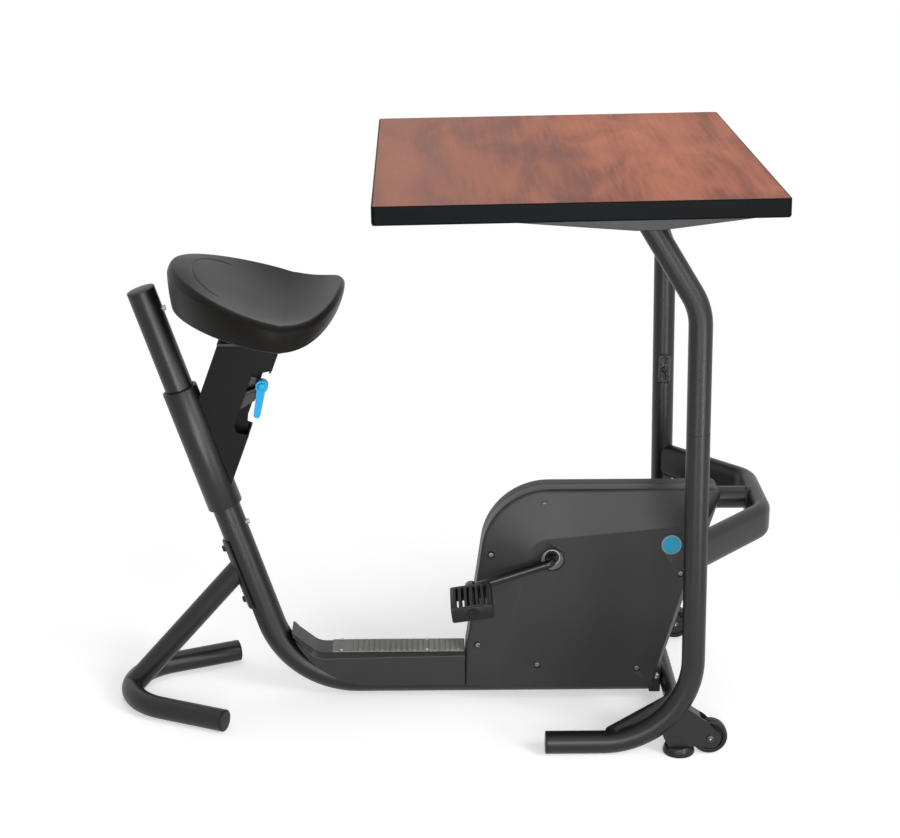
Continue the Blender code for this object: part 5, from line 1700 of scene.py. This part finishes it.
@dataclass
class Hoops:
    """The flat oval hoops, the stub tube to the upper one and the bracket to the lower one."""

    bench: Bench
    posts: Posts
    upper_z: float = 0.356
    lower_z: float = 0.030
    stub_z: float = 0.3655
    stub_radius: float = 0.01905
    nose_x: float = 0.543

    @staticmethod
    def _section(half_thick: float, half_height: float, steps: int = 12) -> list[Point2]:
        """The flat oval section, as (right, up).

        Args:
            half_thick: half of the tube's thickness.
            half_height: half of its height.
            steps: how many pieces each rounded end has.

        Returns:
            The section's points.
        """
        points: list[Point2] = []
        for side in (1, -1):
            for k in range(steps + 1):
                angle = math.pi * k / steps
                up = half_height - half_thick + half_thick * math.sin(angle)
                points.append((side * half_thick * math.cos(angle), side * up))
        return points

    def _hoop(self, name: str, half: Sequence[Point2], z: float, section: Point2, bend: float) -> None:
        """One hoop, from the near post round the nose to the far one.

        Args:
            name: the solid that it stands for.
            half: the corners of its far half, from the post to the nose.
            z: its height.
            section: half of its section's thickness and half of its height.
            bend: the radius of its two bends.
        """
        near = [Vector((x, -y, z)) for x, y in half]
        far = [Vector((x, y, z)) for x, y in reversed(half)]
        form = Form()
        ends = form.sweep(self._section(*section), [*near, *far], [bend, bend], UP)
        form.close(*ends).outward()
        self.bench.place(form, f"{name}_oval", SATIN_BLACK, name)

    def build(self) -> None:
        """Make the sub-assembly."""
        post_x, y, upper = self.posts.x_at(self.upper_z), self.posts.offset, self.upper_z
        self._hoop("upper_hoop", [(post_x, y), (self.nose_x, 0.0817)], upper, (0.015, 0.030), 0.055)
        self._hoop("lower_hoop", [(0.283, y), (0.402, 0.1056)], self.lower_z, (0.0125, 0.017), 0.060)
        start, end = Vector((0.378, 0.0, self.stub_z)), Vector((self.nose_x - 0.004, 0.0, self.stub_z))
        stub = Form().tube(self.stub_radius, [start, end], (), 48)
        stub.join(bead(Vector((self.nose_x - 0.015, 0.0, self.stub_z)), FORWARD, self.stub_radius))
        self.bench.place(stub, "stub_bar", SATIN_BLACK, "stub_tube")
        self.bench.refine(SATIN_BLACK, 0.0022, "front_bracket")
        low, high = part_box("front_bracket")
        places = [(Vector((low.x + 0.0115, sign * high.y, high.z - 0.016)), ACROSS * sign) for sign in (-1, 1)]
        heads = Fastener(0.0050, 0.0036, HeadStyle.HEX).forms(places)
        self.bench.place(heads, "front_bracket_bolts", ZINC)


@dataclass
class Desk:
    """The rails, the laminate board and the band round its edge, all square to the leaning posts."""

    bench: Bench
    posts: Posts
    length: float = 0.6096
    width: float = 0.762
    thick: float = 0.0286
    centre_x: float = 0.2035
    top: float = 0.9605

    def _squared(self, form: Form) -> Form:
        """Turn a shape made level about the board's middle, as the board stands.

        Args:
            form: the shape.

        Returns:
            The shape.
        """
        middle = Matrix.Translation((self.centre_x, 0.0, self.top))
        turn = Matrix.Rotation(-math.atan(self.posts.lean), 4, "Y")
        return form.placed(middle @ turn @ middle.inverted())

    def build(self) -> None:
        """Make the sub-assembly."""
        self.bench.refine(SATIN_BLACK, 0.0010, "desk_rail_near", "desk_rail_far")
        self._board()
        self._band()
        under, y = self.top - self.thick - 0.0034, self.posts.offset
        places = [(Vector((x, sign * y, under)), -UP) for x in (-0.015, 0.110, 0.215, 0.462) for sign in (-1, 1)]
        heads = Fastener(0.0048, 0.0026).forms(places)
        self.bench.place(self._squared(heads), "desk_screws", ZINC)

    def _plan(self, inset: float, radius: float) -> list[Point2]:
        """The board's plan, drawn in, with rounded corners.

        Args:
            inset: how far in from the board's edge.
            radius: the corners' radius.

        Returns:
            The outline's points.
        """
        x0, x1 = self.centre_x - self.length / 2 + inset, self.centre_x + self.length / 2 - inset
        y = self.width / 2 - inset
        return rounded([(x0, -y), (x1, -y), (x1, y), (x0, y)], [radius] * 4, 8)

    def _board(self) -> None:
        """The board, whose skin stops just short of the band."""
        form = Form().slab(self._plan(0.0023, 0.0038), self.top - self.thick, self.top).stood_up()
        form.soften(0.0003, 1, 60.0)
        self.bench.place(self._squared(form), "laminate_board", CHERRY, "desktop", flat=True)

    def _band(self) -> None:
        """The band, a moulded strip with softly rounded edges and a narrow sloped foot that catches the light."""
        form = Form()
        inset, high, low = 0.0021, self.top, self.top - self.thick
        section = [(inset, high), (0.0013, high), (0.0005, high - 0.0004), (0.0, high - 0.0013)]
        section += [(0.0, low + 0.0030), (0.0002, low + 0.0024), (0.0014, low + 0.0004), (0.0018, low), (inset, low)]
        rings = []
        for draw, z in section:
            plan = self._plan(draw, 0.0060 - draw)
            rings.append(form.ring(Vector((x, y, z)) for x, y in plan))
        form.bridge(*rings, rings[0]).outward()
        self._squared(form)
        self.bench.place(form, "edge_strip", EDGE_BLACK, "desk_edge_band", crease=50.0, flat=True)


@dataclass
class Rollers:
    """The wheels, their brackets and axles, and the rubber feet."""

    bench: Bench
    offset: float = 0.231
    wheel: Point2 = (0.446, 0.0305)
    wheel_radius: float = 0.0295
    half: float = 0.0095
    axle: Pair = (0.0039, 0.0148)  # radius and reach
    rubber_x: float = 0.396
    rubber: Pair = (0.0265, 0.0160)  # radius and height

    def build(self) -> None:
        """Make the sub-assembly."""
        for side, body in ((Side.NEAR, Body.WHEEL_NEAR), (Side.FAR, Body.WHEEL_FAR)):
            y = side.value * self.offset
            at = Vector((self.wheel[0], y, self.wheel[1]))
            self._bracket(side)
            self._wheel(side, at, body)
            r, out = self.axle
            axle = Form().lathe([(0.0, -out), (r, -out), (r, out), (0.0, out)], at, ACROSS, 24)
            tips = Form()
            for sign in (-1, 1):
                axle.join(Fastener(0.0066, 0.0030, HeadStyle.DOME).form(at + ACROSS * sign * out, ACROSS * sign))
                tip = [(0.0, -0.0010), (0.0021, -0.0010), (0.0021, 0.0002), (0.0014, 0.0009), (0.0, 0.0011)]
                tips.join(Form().lathe(tip, at + ACROSS * sign * (out + 0.0016), ACROSS * sign, 20))
            self.bench.place(axle, f"wheel_bolt_{side.word}", DARK_STEEL, f"wheel_axle_{side.word}")
            self.bench.place(tips, f"wheel_bolt_tips_{side.word}", BRIGHT_STEEL)
            r, top = self.rubber
            foot = [(0.0, 0.0), (r - 0.0030, 0.0), (r - 0.0012, 0.0005), (r - 0.0003, 0.0016), (r, 0.0034)]
            foot += [(r - 0.0002, 0.0060), (r - 0.0024, 0.0130), (r - 0.0034, top - 0.0008)]
            foot += [(r - 0.0046, top), (0.0, top)]
            stem = [(0.0, top), (0.0040, top), (0.0040, 0.0260), (0.0, 0.0260)]
            form = Form().lathe(foot, Vector((self.rubber_x, y, 0.0)), UP, 56)
            form.join(Form().lathe(stem, Vector((self.rubber_x, y, 0.0)), UP, 20))
            self.bench.place(form, f"floor_pad_{side.word}", BLACK_RUBBER, f"rubber_foot_{side.word}")

    def _bracket(self, side: Side) -> None:
        """The bracket's plates with soft edges.

        Args:
            side: which bracket.
        """
        node = f"wheel_bracket_{side.word}"
        form = Form.of_node(node).soften(0.0005, 2, 50.0)
        self.bench.place(form, f"{node}_plates", SATIN_BLACK, node, crease=50.0, flat=True)

    def _wheel(self, side: Side, at: Vector, body: Body) -> None:
        """A hard wheel with a raised rim and hub on each face.

        Args:
            side: which wheel.
            at: its middle.
            body: what it rides on.
        """
        r, h = self.wheel_radius, self.half
        face = [(0.0043, -h + 0.0004), (0.0095, -h + 0.0004), (0.0100, -h + 0.0008), (0.0104, -h + 0.0030)]
        face += [(r - 0.0085, -h + 0.0030), (r - 0.0078, -h + 0.0006), (r - 0.0070, -h), (r - 0.0030, -h)]
        tread = [(r - 0.0012, -h + 0.0008), (r - 0.0002, -h + 0.0024), (r, -h + 0.0042)]
        half = [*face, *tread]
        profile = half + [(radius, -height) for radius, height in reversed(half)]
        form = Form().lathe(profile, at, ACROSS, 64)
        self.bench.place(form, f"roller_{side.word}", TYRE_RUBBER, f"wheel_{side.word}", body=body, crease=40.0)


@dataclass(frozen=True)
class Lamp:
    """A soft rectangular lamp: its place, the point that it faces, its size, its watts and how widely it throws."""

    name: str
    at: Point3
    aim: Point3
    size: Point2
    power: float
    spread: float = 180.0


LAMPS = (
    Lamp("key", (2.1, -1.9, 1.9), (0.0, 0.0, 0.45), (1.0, 1.3), 42.0),
    Lamp("overhead", (0.0, 0.3, 3.0), (0.0, 0.0, 0.45), (2.2, 1.6), 24.0),
    Lamp("front", (0.45, -2.2, 0.75), (0.25, 0.0, 0.35), (0.9, 0.30), 16.0),
    # Two low lamps draw highlights down the tubes
    Lamp("low_left", (-0.14, -1.5, 0.26), (-0.30, 0.0, 0.42), (0.30, 0.44), 1.7, 80.0),
    Lamp("low_right", (1.12, -1.32, 0.26), (0.41, -0.23, 0.40), (0.35, 0.44), 1.6, 90.0),
)


@dataclass
class Studio:
    """The pale floor, the soft lamps and the camera."""

    floor_glow: float = 0.46
    shadow_reach: Pair = (1.0, 2.1)  # where the floor starts to lose its shadows, and where they end
    floor_half: float = 14.0
    surround: Pair = (0.65, 0.35)  # what only the eye and gloss see, and what all light gets
    lens: float = 79.6
    sensor: float = 36.0
    pitch: float = math.radians(18.1)
    turn: float = math.radians(1.0)
    eye: Point3 = (-0.036, -3.2, 1.555)

    def build(self) -> None:
        """Set the stage."""
        self._floor()
        self._world()
        self._lamps()
        self._camera()
        bpy.context.scene.view_settings.view_transform = "Standard"

    def _floor(self) -> None:
        """A large plain floor that is white to the camera, and plain white beyond the reach of the bike's shadows."""
        form = Form()
        bmesh.ops.create_grid(form.mesh, x_segments=1, y_segments=1, size=self.floor_half)
        mesh = bpy.data.meshes.new("studio_floor")
        form.mesh.to_mesh(mesh)
        form.mesh.free()
        floor = bpy.data.objects.new("studio_floor", mesh)
        bpy.context.scene.collection.objects.link(floor)
        paint = Paint("studio floor")
        paint.coat(Roughness=0.9, Specular_IOR_Level=0.0, Emission_Strength=1.0)
        near, far = self.shadow_reach
        away = paint.node("ShaderNodeVectorMath", {"operation": "LENGTH"}, {0: paint.place((1.6, 2.2, 1.0))}, "Value")
        ends = {0: away, 1: near, 2: far, 3: 0.0, 4: 1.0}
        share = paint.node("ShaderNodeMapRange", {"interpolation_type": "SMOOTHSTEP"}, ends)
        paint.coat(Base_Color=paint.mix(share, (0.8, 0.8, 0.8), (0.0, 0.0, 0.0)))
        glow = paint.seen() * paint.span(share, self.floor_glow, 1.0)
        paint.coat(Emission_Color=paint.node("ShaderNodeCombineColor", values={0: glow, 1: glow, 2: glow}))
        floor.data.materials.append(paint.material)

    def _world(self) -> None:
        """An even surround that is white to the eye and in gloss, and lights the bike more gently."""
        world = bpy.data.worlds.new("studio")
        world.use_nodes = True
        graph = Graph(world.node_tree)
        ground = graph.tree.nodes["Background"]
        ground.inputs["Color"].default_value = (1.0, 1.0, 1.0, 1.0)
        extra, plain = self.surround
        graph.set(ground.inputs["Strength"], graph.seen() * extra + plain)
        bpy.context.scene.world = world

    def _lamps(self) -> None:
        """Soft rectangular lamps."""
        for lamp in LAMPS:
            data = bpy.data.lights.new(lamp.name, "AREA")
            data.spread = math.radians(lamp.spread)
            data.shape = "RECTANGLE"
            data.size, data.size_y = lamp.size
            data.energy = lamp.power
            at, aim = Vector(lamp.at), Vector(lamp.aim)
            placed = bpy.data.objects.new(lamp.name, data)
            placed.matrix_world = Matrix.Translation(at) @ (aim - at).to_track_quat("-Z", "Y").to_matrix().to_4x4()
            bpy.context.scene.collection.objects.link(placed)

    def _camera(self) -> None:
        """The camera at the photograph's angle."""
        data = bpy.data.cameras.new("camera")
        data.sensor_fit = "HORIZONTAL"
        data.sensor_width = self.sensor
        data.lens = self.lens
        data.dof.use_dof = False
        camera = bpy.data.objects.new("camera", data)
        level = math.cos(self.pitch)
        look = Vector((math.sin(self.turn) * level, math.cos(self.turn) * level, -math.sin(self.pitch)))
        turned = look.to_track_quat("-Z", "Y").to_matrix().to_4x4()
        camera.matrix_world = Matrix.Translation(self.eye) @ turned
        bpy.context.scene.collection.objects.link(camera)
        bpy.context.scene.camera = camera


def main() -> None:
    """Build every sub-assembly and the studio, and note the sizes."""
    logging.basicConfig(level=logging.INFO, format="%(message)s")
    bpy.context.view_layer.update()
    bench = Bench()
    spine, posts = Spine(bench), Posts(bench)
    for part in (
        spine,
        Saddle(bench, spine),
        Footrest(bench, spine),
        Housing(bench),
        Drive(bench),
        posts,
        Hoops(bench, posts),
        Desk(bench, posts),
        Rollers(bench),
        Studio(),
    ):
        part.build()
        LOG.info("built: %s", type(part).__name__)


if __name__ == "__main__":
    main()
